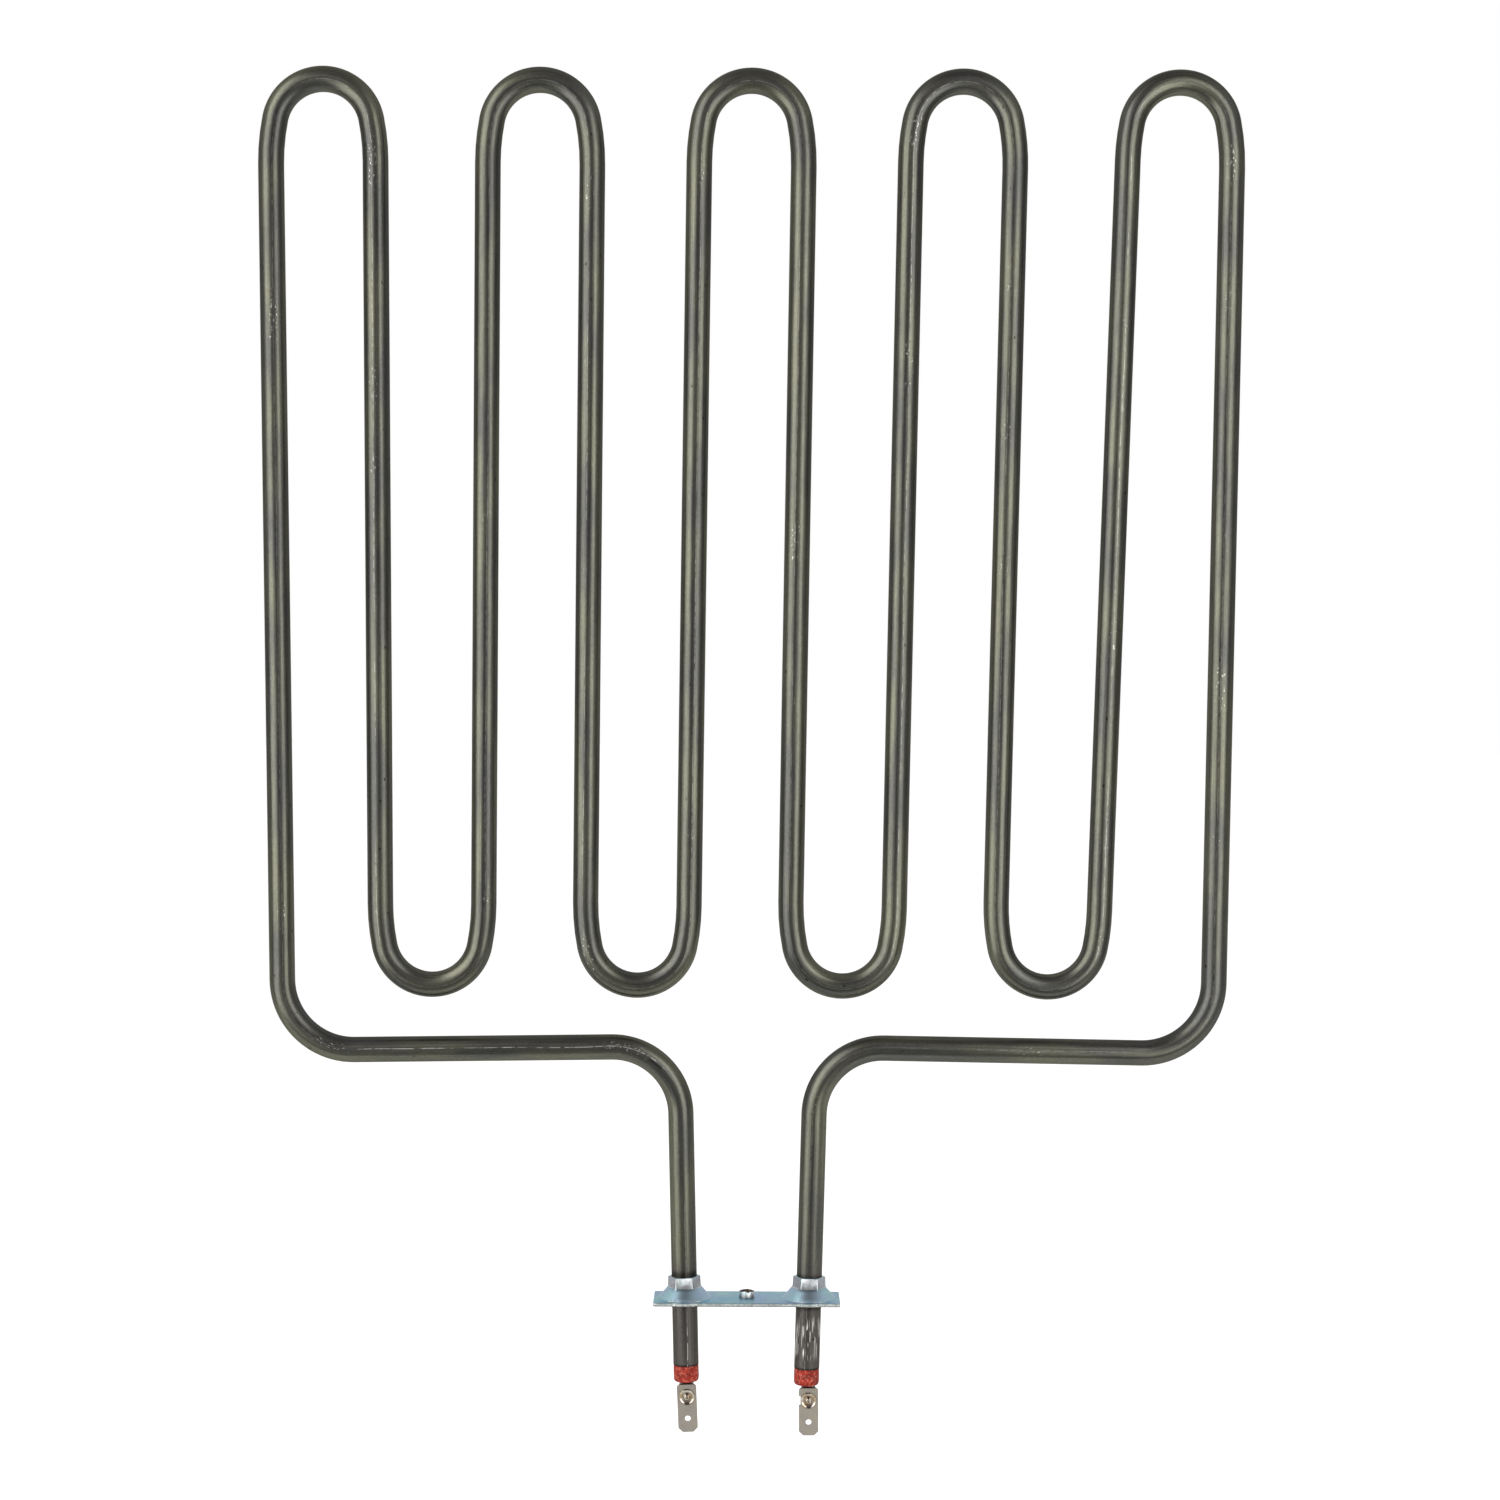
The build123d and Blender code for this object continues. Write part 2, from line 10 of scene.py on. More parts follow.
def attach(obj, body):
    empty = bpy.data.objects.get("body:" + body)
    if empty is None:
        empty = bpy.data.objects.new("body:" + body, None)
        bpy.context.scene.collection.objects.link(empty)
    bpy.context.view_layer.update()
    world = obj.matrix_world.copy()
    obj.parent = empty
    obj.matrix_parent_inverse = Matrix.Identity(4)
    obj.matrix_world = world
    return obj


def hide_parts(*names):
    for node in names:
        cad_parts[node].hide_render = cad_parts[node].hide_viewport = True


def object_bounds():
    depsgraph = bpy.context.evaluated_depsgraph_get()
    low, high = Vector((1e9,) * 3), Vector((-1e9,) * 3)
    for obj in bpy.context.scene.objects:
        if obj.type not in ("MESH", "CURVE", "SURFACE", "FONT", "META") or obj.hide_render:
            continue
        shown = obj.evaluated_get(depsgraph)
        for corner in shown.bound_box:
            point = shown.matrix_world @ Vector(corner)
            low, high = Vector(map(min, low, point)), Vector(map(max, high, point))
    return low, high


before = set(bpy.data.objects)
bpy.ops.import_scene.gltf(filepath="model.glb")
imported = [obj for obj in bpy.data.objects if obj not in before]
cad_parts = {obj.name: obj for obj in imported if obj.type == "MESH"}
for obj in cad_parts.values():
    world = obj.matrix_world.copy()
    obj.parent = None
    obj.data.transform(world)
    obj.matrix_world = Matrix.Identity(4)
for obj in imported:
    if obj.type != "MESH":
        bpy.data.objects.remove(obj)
cad_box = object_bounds()

bl_info = {
    "name": "Serpentine Tubular Heating Element",
    "version": (1, 0, 0),
    "blender": (4, 5, 0),
    "location": "View3D > Sidebar > Heating Element",
    "description": "Models and finishes a flat tubular heating element on its CAD frame",
    "category": "Object",
}

MM = 0.001
LEFT, RIGHT = -1, 1
SIDE_NAMES = {LEFT: "left", RIGHT: "right"}
BODY = "root"

# ---------------------------------------------------------------- sizes shared with the frame
# The sheath's centreline, in millimetres, as the CAD has it.
UPPER_HAIRPINS = 5
HAIRPIN_SPAN = 33.2
HAIRPIN_SPRING_BACK = 1.05
HAIRPIN_EASE_RADIUS = 71.0
HAIRPIN_PITCH = 67.2
OUTER_SPREAD = 1.7
LOWER_PITCH_LOSS = 1.3
LOWER_ROW_SHIFT = -2.7
COIL_HEIGHT = 288.4
COIL_LIFT = 20.0
OUTER_LEG_LEAN = 3.0
SHOULDER_HEIGHT = 82.2
SHOULDER_DROP = 1.2
CORNER_RADIUS = 22.8
NECK_RADIUS = 22.0
TOE_IN = math.radians(1.35)
TERMINAL_PITCH = 40.0
COLD_END_LENGTH = 20.6
RIGHT_COLD_END_EXTRA = 1.0

LOWER_APEX_Z = SHOULDER_HEIGHT + COIL_LIFT
UPPER_APEX_Z = LOWER_APEX_Z + COIL_HEIGHT
HALF_SPAN = HAIRPIN_SPAN / 2
APEX_RADIUS = HALF_SPAN - HAIRPIN_SPRING_BACK
TURNS_LEFT, TURNS_RIGHT = 1, -1

# The cold ends and the flange, in millimetres.
FLANGE_THICKNESS = 1.2
THREAD_BORE = 3.3
THREAD_PITCH = 0.7
THREAD_DEPTH = 0.3
SEAL_HEIGHT = 5.4
TAB_BELOW_SEAL = 0.95
TAB_THICKNESS = 0.8
PADDLE_THICKNESS = 1.6
RIVET_FROM_TAB_TOP = 4.1
RIVET_SHANK_RADIUS = 1.3
BEND_SHIFT = {LEFT: 0.0, RIGHT: 0.7}
BEND_TILT = {LEFT: math.radians(1.2), RIGHT: math.radians(1.8)}


# ---------------------------------------------------------------- sizes and colours to change
def linear(hex_colour):
    """Linear RGBA from an sRGB hex colour."""
    channels = (int(hex_colour[i : i + 2], 16) / 255 for i in (1, 3, 5))
    return [c / 12.92 if c <= 0.04045 else ((c + 0.055) / 1.055) ** 2.4 for c in channels] + [1.0]


def colour(name, description, hex_colour):
    return bpy.props.FloatVectorProperty(
        name=name, description=description, subtype="COLOR", size=4, min=0.0, max=1.0,
        default=linear(hex_colour))


class SheathSettings(bpy.types.PropertyGroup):
    diameter: bpy.props.FloatProperty(
        name="Tube Diameter", description="Outside diameter of the steel sheath",
        default=8.2 * MM, min=4 * MM, max=16 * MM, unit="LENGTH", precision=4)
    wall: bpy.props.FloatProperty(
        name="Tube Wall", description="Wall thickness of the steel sheath",
        default=0.7 * MM, min=0.3 * MM, max=2 * MM, unit="LENGTH", precision=4)
    facets: bpy.props.IntProperty(
        name="Facets", description="Faces round the tube", default=36, min=12, max=64)
    oxide: colour("Oxide", "Main colour of the heat-oxidised steel", "#5D5D51")
    oxide_dark: colour("Dark Oxide", "Colour of the thicker oxide", "#4C4C49")
    cold: colour("Cold End", "Colour of the steel below the flange", "#4A4744")
    bare: colour("Bare Steel", "Colour where the oxide is rubbed off", "#D8D6D0")


class FlangeSettings(bpy.types.PropertyGroup):
    zinc: colour("Zinc", "Colour of the blue-passivated zinc", "#7EAFC1")
    zinc_green: colour("Green Zinc", "Tint of the thinner passivation", "#92C2BC")
    zinc_violet: colour("Violet Zinc", "Tint of the thicker passivation", "#8FAAC6")
    burnished: colour("Burnished Zinc", "Colour where the tools pressed or sheared it", "#E6EDEC")


class TerminalSettings(bpy.types.PropertyGroup):
    seal: colour("Seal", "Main colour of the silicone seals", "#9A2B1D")
    seal_fleck: colour("Seal Fleck", "Colour of the paler filler in the seals", "#C97462")
    tab: colour("Tab", "Colour of the plated tabs", "#8E887C")
    rivet: colour("Rivet", "Colour of the bright plated rivets", "#A8A299")
    rivet_diameter: bpy.props.FloatProperty(
        name="Rivet Head", description="Diameter of the rivets' heads",
        default=5.2 * MM, min=3 * MM, max=6 * MM, unit="LENGTH", precision=4)


class StageSettings(bpy.types.PropertyGroup):
    softbox_radiance: bpy.props.FloatProperty(
        name="Softbox Brightness", description="Brightness of both softboxes",
        default=4.0, min=0.0)
    camera_distance: bpy.props.FloatProperty(
        name="Camera Distance", description="From the element's plane to the camera",
        default=0.914, min=0.2, unit="LENGTH")
    camera_height: bpy.props.FloatProperty(
        name="Camera Height", description="Height of the camera above the flange",
        default=0.2147, unit="LENGTH", precision=4)
    lens: bpy.props.FloatProperty(
        name="Lens", description="Focal length on a 36 mm wide sensor",
        default=68.52, min=10.0, unit="CAMERA")


# ---------------------------------------------------------------- the centreline
# A chain of turns with straight runs between those that don't touch; a point is a pair (x, z).
Turn = namedtuple("Turn", "x z radius way touches_next")
Straight = namedtuple("Straight", "start end")
Arc = namedtuple("Arc", "centre radius start sweep")


def cold_end(side):
    return COLD_END_LENGTH + (RIGHT_COLD_END_EXTRA if side == RIGHT else 0.0)


def on_terminal_leg(side, distance):
    """A point on a terminal leg's axis, at a distance above the flange's underside."""
    return (side * (TERMINAL_PITCH / 2 + distance * math.sin(TOE_IN)), distance * math.cos(TOE_IN))


def upper_hairpin_x(index):
    steps = index - (UPPER_HAIRPINS - 1) / 2
    at_end = index in (0, UPPER_HAIRPINS - 1)
    return steps * HAIRPIN_PITCH + (math.copysign(OUTER_SPREAD, steps) if at_end else 0.0)


def lower_hairpin_x(index):
    steps = index - (UPPER_HAIRPINS - 2) / 2
    return steps * (HAIRPIN_PITCH - LOWER_PITCH_LOSS) + LOWER_ROW_SHIFT


def hairpin(x, apex_z, up, way):
    """A round apex, with a long easy bend on each side where the legs spring open."""
    apex_centre_z = apex_z - up * APEX_RADIUS
    ease_inset = HAIRPIN_EASE_RADIUS - HALF_SPAN
    drop = math.sqrt((HAIRPIN_EASE_RADIUS - APEX_RADIUS) ** 2 - ease_inset**2)
    ease_z = apex_centre_z - up * drop
    return [
        Turn(x + ease_inset, ease_z, HAIRPIN_EASE_RADIUS, way, True),
        Turn(x, apex_centre_z, APEX_RADIUS, way, True),
        Turn(x - ease_inset, ease_z, HAIRPIN_EASE_RADIUS, way, False),
    ]


def neck_turn(side):
    centre_z = SHOULDER_HEIGHT - NECK_RADIUS
    distance = (centre_z + NECK_RADIUS * math.sin(TOE_IN)) / math.cos(TOE_IN)
    leg_x, _ = on_terminal_leg(side, distance)
    centre_x = leg_x + side * NECK_RADIUS * math.cos(TOE_IN)
    return Turn(centre_x, centre_z, NECK_RADIUS, TURNS_LEFT, False)


def corner_turn(side):
    leg_x = abs(upper_hairpin_x(0)) + HALF_SPAN - OUTER_LEG_LEAN
    centre_z = SHOULDER_HEIGHT - SHOULDER_DROP + CORNER_RADIUS
    return Turn(side * (leg_x - CORNER_RADIUS), centre_z, CORNER_RADIUS, TURNS_RIGHT, False)


def all_turns():
    turns = [neck_turn(LEFT), corner_turn(LEFT)]
    for index in range(UPPER_HAIRPINS):
        turns += hairpin(upper_hairpin_x(index), UPPER_APEX_Z, 1, TURNS_RIGHT)
        if index < UPPER_HAIRPINS - 1:
            turns += hairpin(lower_hairpin_x(index), LOWER_APEX_Z, -1, TURNS_LEFT)
    return [*turns, corner_turn(RIGHT), neck_turn(RIGHT)]


def tangent_run(first, second):
    """The straight run that leaves one turn and joins the next."""
    dx, dz = second.x - first.x, second.z - first.z
    side_shift = second.way * second.radius - first.way * first.radius
    heading = math.atan2(dz, dx) - math.asin(side_shift / math.hypot(dx, dz))
    normal_x, normal_z = -math.sin(heading), math.cos(heading)
    points = [
        (t.x - t.way * t.radius * normal_x, t.z - t.way * t.radius * normal_z)
        for t in (first, second)
    ]
    return Straight(*points)


def touching_point(first, second):
    large, small = (first, second) if first.radius > second.radius else (second, first)
    dx, dz = small.x - large.x, small.z - large.z
    share = large.radius / math.hypot(dx, dz)
    return (large.x + dx * share, large.z + dz * share)


def arc_between(turn, entry, leaving):
    start = math.atan2(entry[1] - turn.z, entry[0] - turn.x)
    end = math.atan2(leaving[1] - turn.z, leaving[0] - turn.x)
    sweep = turn.way * ((turn.way * (end - start)) % (2 * math.pi))
    return Arc((turn.x, turn.z), turn.radius, start, sweep)


def centreline():
    """The straights and arcs of the whole sheath, from its left mouth to its right mouth."""
    mouths = [on_terminal_leg(side, -cold_end(side)) for side in (LEFT, RIGHT)]
    left_mouth, right_mouth = (Turn(x, z, 0.0, TURNS_LEFT, False) for x, z in mouths)
    chain = [left_mouth, *all_turns(), right_mouth]
    pieces, entry = [], None
    for turn, following in zip(chain, chain[1:]):
        run = None
        if turn.touches_next:
            leaving = following_entry = touching_point(turn, following)
        else:
            run = tangent_run(turn, following)
            leaving, following_entry = run.start, run.end
        if entry is not None:
            pieces.append(arc_between(turn, entry, leaving))
        if run is not None:
            pieces.append(run)
        entry = following_entry
    return pieces


def piece_length(piece):
    if isinstance(piece, Straight):
        return math.dist(piece.start, piece.end)
    return abs(piece.sweep) * piece.radius


CENTRELINE = centreline()
TOTAL_LENGTH = sum(piece_length(piece) for piece in CENTRELINE)


# ---------------------------------------------------------------- modelling helpers
MERGE_DISTANCE = 0.001 * MM


def deselect_objects():
    for thing in bpy.context.selected_objects:
        thing.select_set(False)


def select_only(thing):
    deselect_objects()
    thing.select_set(True)
    bpy.context.view_layer.objects.active = thing


def edit(thing):
    """Opens one object in edit mode with nothing selected in it."""
    select_only(thing)
    bpy.ops.object.mode_set(mode="EDIT")
    bpy.ops.mesh.select_mode(type="VERT")
    bpy.ops.mesh.select_all(action="DESELECT")


def object_mode():
    bpy.ops.object.mode_set(mode="OBJECT")


def select_where(thing, elements, test):
    """Selects the vertices, edges or faces that pass a test. Called in edit mode."""
    bpy.ops.mesh.select_all(action="DESELECT")
    mode = {"vertices": "VERT", "edges": "EDGE", "polygons": "FACE"}[elements]
    bpy.ops.mesh.select_mode(type=mode)
    object_mode()
    for element in getattr(thing.data, elements):
        element.select = test(element)
    bpy.ops.object.mode_set(mode="EDIT")


def named(name):
    thing = bpy.context.object
    thing.name = thing.data.name = name
    return thing


def settle(thing):
    """Puts an object's place into its mesh, so that it sits at the origin."""
    thing.data.transform(thing.matrix_basis)
    thing.matrix_basis = Matrix.Identity(4)


def apply_modifiers(thing):
    select_only(thing)
    for name in [modifier.name for modifier in thing.modifiers]:
        bpy.ops.object.modifier_apply(modifier=name)


def smooth(thing, angle):
    """Smooth shading, with edges sharper than an angle in degrees kept hard."""
    select_only(thing)
    bpy.ops.object.shade_smooth_by_angle(angle=math.radians(angle))


def outwards(thing):
    """Merges doubles and turns every face outwards."""
    edit(thing)
    bpy.ops.mesh.select_all(action="SELECT")
    bpy.ops.mesh.remove_doubles(threshold=MERGE_DISTANCE)
    bpy.ops.mesh.normals_make_consistent(inside=False)
    object_mode()


def on_leg(side):
    """The move that leans an upright piece over with its terminal leg."""
    lean = Matrix.Rotation(side * TOE_IN, 4, "Y")
    return Matrix.Translation((side * TERMINAL_PITCH / 2 * MM, 0, 0)) @ lean


def bent(side):
    """The move that bends an upright piece over with its pin's flattened end."""
    foot = Vector((0, 0, (mouth(side) - SEAL_HEIGHT) * MM))
    shift = Vector((BEND_SHIFT[side] * MM, 0, 0))
    tilt = Matrix.Rotation(-BEND_TILT[side], 4, "Y")
    return Matrix.Translation(shift + foot) @ tilt @ Matrix.Translation(-foot)


def mouth(side):
    return -cold_end(side)


def tab_top(side):
    return mouth(side) - SEAL_HEIGHT - TAB_BELOW_SEAL


def rivet_height(side):
    return tab_top(side) - RIVET_FROM_TAB_TOP


def turned(name, outline, facets):
    """A turned piece: a point drawn along an outline of (radius, height), then spun round Z."""
    deselect_objects()
    radius, height = outline[0]
    bpy.ops.mesh.primitive_plane_add(size=MM, location=(radius * MM, 0, height * MM))
    piece = named(name)
    settle(piece)
    edit(piece)
    bpy.ops.mesh.select_all(action="SELECT")
    bpy.ops.mesh.merge(type="CENTER")
    for (r0, z0), (r1, z1) in zip(outline, outline[1:]):
        step = ((r1 - r0) * MM, 0, (z1 - z0) * MM)
        bpy.ops.mesh.extrude_region_move(TRANSFORM_OT_translate={"value": step})
    bpy.ops.mesh.select_all(action="SELECT")
    bpy.ops.mesh.spin(steps=facets, angle=2 * math.pi, center=(0, 0, 0), axis=(0, 0, 1))
    object_mode()
    outwards(piece)
    if not piece.data.polygons:
        raise RuntimeError(f"{name} came out empty")
    return piece


def copy_of(thing, name, move):
    """A copy with its own mesh, moved in its mesh."""
    copy = thing.copy()
    copy.data = thing.data.copy()
    copy.name = copy.data.name = name
    bpy.context.scene.collection.objects.link(copy)
    copy.data.transform(move)
    return copy


def cad_copy(node, name):
    """A merged copy of a CAD node's mesh, as the start of a dressed piece."""
    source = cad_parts[node]
    copy = bpy.data.objects.new(name, source.data.copy())
    copy.data.name = name
    bpy.context.scene.collection.objects.link(copy)
    outwards(copy)
    return copy


def finish_piece(piece, slot, materials, *nodes):
    """Gives a piece its materials, hides the CAD nodes it stands in for, and hangs it on the body.
    """
    piece.data.materials.clear()
    for material in materials:
        piece.data.materials.append(material)
    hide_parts(*nodes)
    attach(piece, BODY)


# ---------------------------------------------------------------- materials
def new_material(name):
    material = bpy.data.materials.get(name) or bpy.data.materials.new(name)
    material.use_nodes = True
    material.node_tree.nodes.clear()
    return material, material.node_tree


def add_node(tree, kind, inputs=None, **settings):
    """Adds a node with its settings, and a value or a link for each input."""
    node = tree.nodes.new(kind)
    for key, value in settings.items():
        setattr(node, key, value)
    for key, value in (inputs or {}).items():
        if isinstance(value, bpy.types.NodeSocket):
            tree.links.new(value, node.inputs[key])
        else:
            node.inputs[key].default_value = value
    return node


def per_mm(length):
    """The scale of a pattern whose features are this long, in millimetres."""
    return 1 / (length * MM)


def mask(tree, *edges):
    """1 past every edge and 0 before any; an edge is a value, where it starts and where it ends."""
    whole = None
    for value, start, end in edges:
        ramp = add_node(tree, "ShaderNodeMapRange", {
            0: value, 1: start, 2: end,
        }, interpolation_type="SMOOTHSTEP").outputs[0]
        whole = ramp if whole is None else add_node(tree, "ShaderNodeMath", {
            0: whole, 1: ramp,
        }, operation="MULTIPLY").outputs[0]
    return whole


def stretch(place, starts, full, fades, ends):
    """The two edges of a stretch, in millimetres, for a mask."""
    return (place, starts * MM, full * MM), (place, ends * MM, fades * MM)


# Where marks lie on the steel, in millimetres: where each starts, is full, fades and ends.
# where the seam's painted highlight is strongest
SEAM_HIGHLIGHT_NECK = (92, 106, 180, 215)  # along the tube
CLAMPED_END = (2.5, 5.5, 13, 18)  # from the right mouth
# painted shade under the flange and round the collar's top
COLLAR_SHADE = (18.6, 20.4, 29.6, 31.6)  # from the nearer mouth
BURNT_ALONG = (97.4, 98.6, 102, 104)  # along the tube
BURNT_ACROSS = (-1.0, -0.78, -0.56, -0.34)  # across from the weld seam


def oxidised_steel(settings):
    """Drawn stainless tube, oxidised by its first firing.

    To the eye it is a semi-gloss olive grey with violet-grey clouds, lengthwise draw lines, small
    pits, a burnished weld seam, and bright marks where the oxide was rubbed off.
    """
    material, tree = new_material("heat_oxidised_steel")
    # "run" holds the way across from the weld seam, the way towards it, and the way along the tube
    run = add_node(tree, "ShaderNodeAttribute", attribute_name="run").outputs["Vector"]
    off_seam, towards_seam, along = add_node(tree, "ShaderNodeSeparateXYZ", {0: run}).outputs
    from_end = add_node(tree, "ShaderNodeMath", {
        0: TOTAL_LENGTH * MM, 1: along,
    }, operation="SUBTRACT").outputs[0]
    nearer_end = add_node(tree, "ShaderNodeMath", {
        0: along, 1: from_end,
    }, operation="MINIMUM").outputs[0]
    on_seam_side = (towards_seam, 0.0, 1.0 * MM)

    def grain(width, length, detail=3.0, offset=0.0):
        """A noise whose features have these sizes across and along the tube, in millimetres."""
        place = add_node(tree, "ShaderNodeMapping", {
            "Vector": run,
            "Location": (offset, offset, offset),
            "Scale": (per_mm(width), per_mm(width), per_mm(length)),
        })
        return add_node(tree, "ShaderNodeTexNoise", {
            "Vector": place.outputs[0], "Scale": 1.0, "Detail": detail, "Roughness": 0.6,
        }).outputs[0]

    draw_lines = grain(0.45, 70)
    clouds = grain(6.0, 38, offset=7.3)
    fine = grain(0.45, 0.9, detail=2.0, offset=2.1)

    # weld seam: a burnished line that wanders and breaks up; its brightness on the left cold end
    # and along the left neck is also a painted highlight
    wander = add_node(tree, "ShaderNodeMath", {
        0: grain(900, 30, offset=4.4), 1: 0.5,
    }, operation="SUBTRACT").outputs[0]
    wander = add_node(tree, "ShaderNodeMath", {
        0: wander, 1: 1.2 * MM,
    }, operation="MULTIPLY").outputs[0]
    away = add_node(tree, "ShaderNodeMath", {0: off_seam, 1: wander}, operation="ADD").outputs[0]
    away = add_node(tree, "ShaderNodeMath", {0: away}, operation="ABSOLUTE").outputs[0]
    # painted highlight: the seam is brightened on the first 18 mm and from 92 to 215 mm along the
    # tube
    seam_highlight = add_node(tree, "ShaderNodeMath", {
        0: mask(tree, (along, 24 * MM, 18 * MM)), 1: 0.6,
    }, operation="MULTIPLY").outputs[0]
    seam_highlight = add_node(tree, "ShaderNodeMath", {
        0: seam_highlight, 1: mask(tree, *stretch(along, *SEAM_HIGHLIGHT_NECK)),
    }, operation="MAXIMUM").outputs[0]
    strength = add_node(tree, "ShaderNodeMapRange", {0: seam_highlight, 3: 0.2, 4: 0.75}).outputs[0]
    seam = mask(tree, (away, 0.17 * MM, 0.05 * MM), on_seam_side,
                (grain(400, 2.6, offset=9.1), 0.38, 0.56), (grain(400, 26, offset=3.7), 0.36, 0.54))
    seam = add_node(tree, "ShaderNodeMath", {0: seam, 1: strength}, operation="MULTIPLY").outputs[0]

    # scratches in groups round the right cold end, where a clamp slipped
    scratches = mask(tree, *stretch(from_end, *CLAMPED_END), on_seam_side,
                     (grain(0.24, 8.0, detail=0.0, offset=15.7), 0.62, 0.67),
                     (grain(2.2, 7.0, detail=1.0, offset=8.8), 0.38, 0.48))
    haze = add_node(tree, "ShaderNodeMath", {
        0: scratches, 1: 0.25,
    }, operation="MULTIPLY").outputs[0]

    # flecks of bare steel, in clusters along the seam
    flecks = mask(tree, (away, 1.7 * MM, 0.9 * MM), on_seam_side,
                  (grain(0.7, 1.2, detail=1.0, offset=3.3), 0.62, 0.68),
                  (grain(60, 24, detail=0.0, offset=1.9), 0.60, 0.70))
    flecks = add_node(tree, "ShaderNodeMath", {0: flecks, 1: 0.5}, operation="MULTIPLY").outputs[0]
    bare = seam
    for mark in (scratches, flecks):
        bare = add_node(tree, "ShaderNodeMath", {0: bare, 1: mark}, operation="MAXIMUM").outputs[0]

    pit_place = add_node(tree, "ShaderNodeMapping", {
        "Vector": run, "Scale": (per_mm(4.5), per_mm(4.5), per_mm(7)),
    })
    pit_cells = add_node(tree, "ShaderNodeTexVoronoi", {
        "Vector": pit_place.outputs[0], "Scale": 1.0,
    }).outputs["Distance"]
    pits = mask(tree, (pit_cells, 0.10, 0.05), (grain(9, 50, offset=6.2), 0.44, 0.58))
    # painted shade: the steel darkens from just under the flange up past the collar's top, and in a
    # thin line at each mouth where it meets its seal
    collar_shade = mask(tree, *stretch(nearer_end, *COLLAR_SHADE))
    mouth_shade = mask(tree, (nearer_end, 0.8 * MM, 0.2 * MM))
    # and a burnt streak lies on the left neck's bend
    burnt = mask(tree, *stretch(along, *BURNT_ALONG), *stretch(off_seam, *BURNT_ACROSS),
                 on_seam_side)
    dark = pits
    for mark in (collar_shade, mouth_shade, burnt):
        dark = add_node(tree, "ShaderNodeMath", {0: dark, 1: mark}, operation="MAXIMUM").outputs[0]

    tint = list(settings.oxide)
    # near the mouths, under the flange, the steel never got hot enough to turn olive
    for share, layer in (
        (mask(tree, (clouds, 0.35, 0.65)), settings.oxide_dark),
        (mask(tree, (nearer_end, 38 * MM, 26 * MM)), settings.cold),
    ):
        tint = add_node(tree, "ShaderNodeMix", {
            0: share, 6: tint, 7: list(layer),
        }, data_type="RGBA").outputs[2]
    shade = add_node(tree, "ShaderNodeMapRange", {0: dark, 3: 1.0, 4: 0.35}).outputs[0]
    for pattern, low, high in ((draw_lines, 0.78, 1.22), (fine, 0.86, 1.14)):
        layer = add_node(tree, "ShaderNodeMapRange", {0: pattern, 1: 0.3, 2: 0.7, 3: low, 4: high})
        shade = add_node(tree, "ShaderNodeMath", {
            0: shade, 1: layer.outputs[0],
        }, operation="MULTIPLY").outputs[0]
    oxide = add_node(tree, "ShaderNodeVectorMath", {
        0: tint, "Scale": shade,
    }, operation="SCALE").outputs[0]
    surface = add_node(tree, "ShaderNodeMix", {
        0: bare, 6: oxide, 7: list(settings.bare),
    }, data_type="RGBA").outputs[2]

    gloss = add_node(tree, "ShaderNodeMapRange", {0: draw_lines, 1: 0.3, 2: 0.7, 3: 0.29, 4: 0.38})
    roughness = add_node(tree, "ShaderNodeMath", {
        0: gloss.outputs[0], 1: haze,
    }, operation="ADD").outputs[0]
    relief = add_node(tree, "ShaderNodeMath", {
        0: draw_lines, 1: pits,
    }, operation="SUBTRACT").outputs[0]
    relief = add_node(tree, "ShaderNodeMath", {0: relief, 1: bare}, operation="ADD").outputs[0]
    bump = add_node(tree, "ShaderNodeBump", {
        "Strength": 1.0, "Distance": 0.025 * MM, "Height": relief,
    }).outputs[0]
    # the oxide film dims the mirror glare that bare metal has at its edges
    shader = add_node(tree, "ShaderNodeBsdfPrincipled", {
        "Base Color": surface, "Metallic": 1.0, "Roughness": roughness, "Normal": bump,
        "Specular Tint": linear("#C4C4BE"),
    })
    add_node(tree, "ShaderNodeOutputMaterial", {0: shader.outputs[0]})
    return material


# the colour of the painted shade
PAINTED_SHADE_COLOUR = "#45392F"
TINT_SHIFT = 0.3  # in metres, far enough for each tint's blotches to lie elsewhere


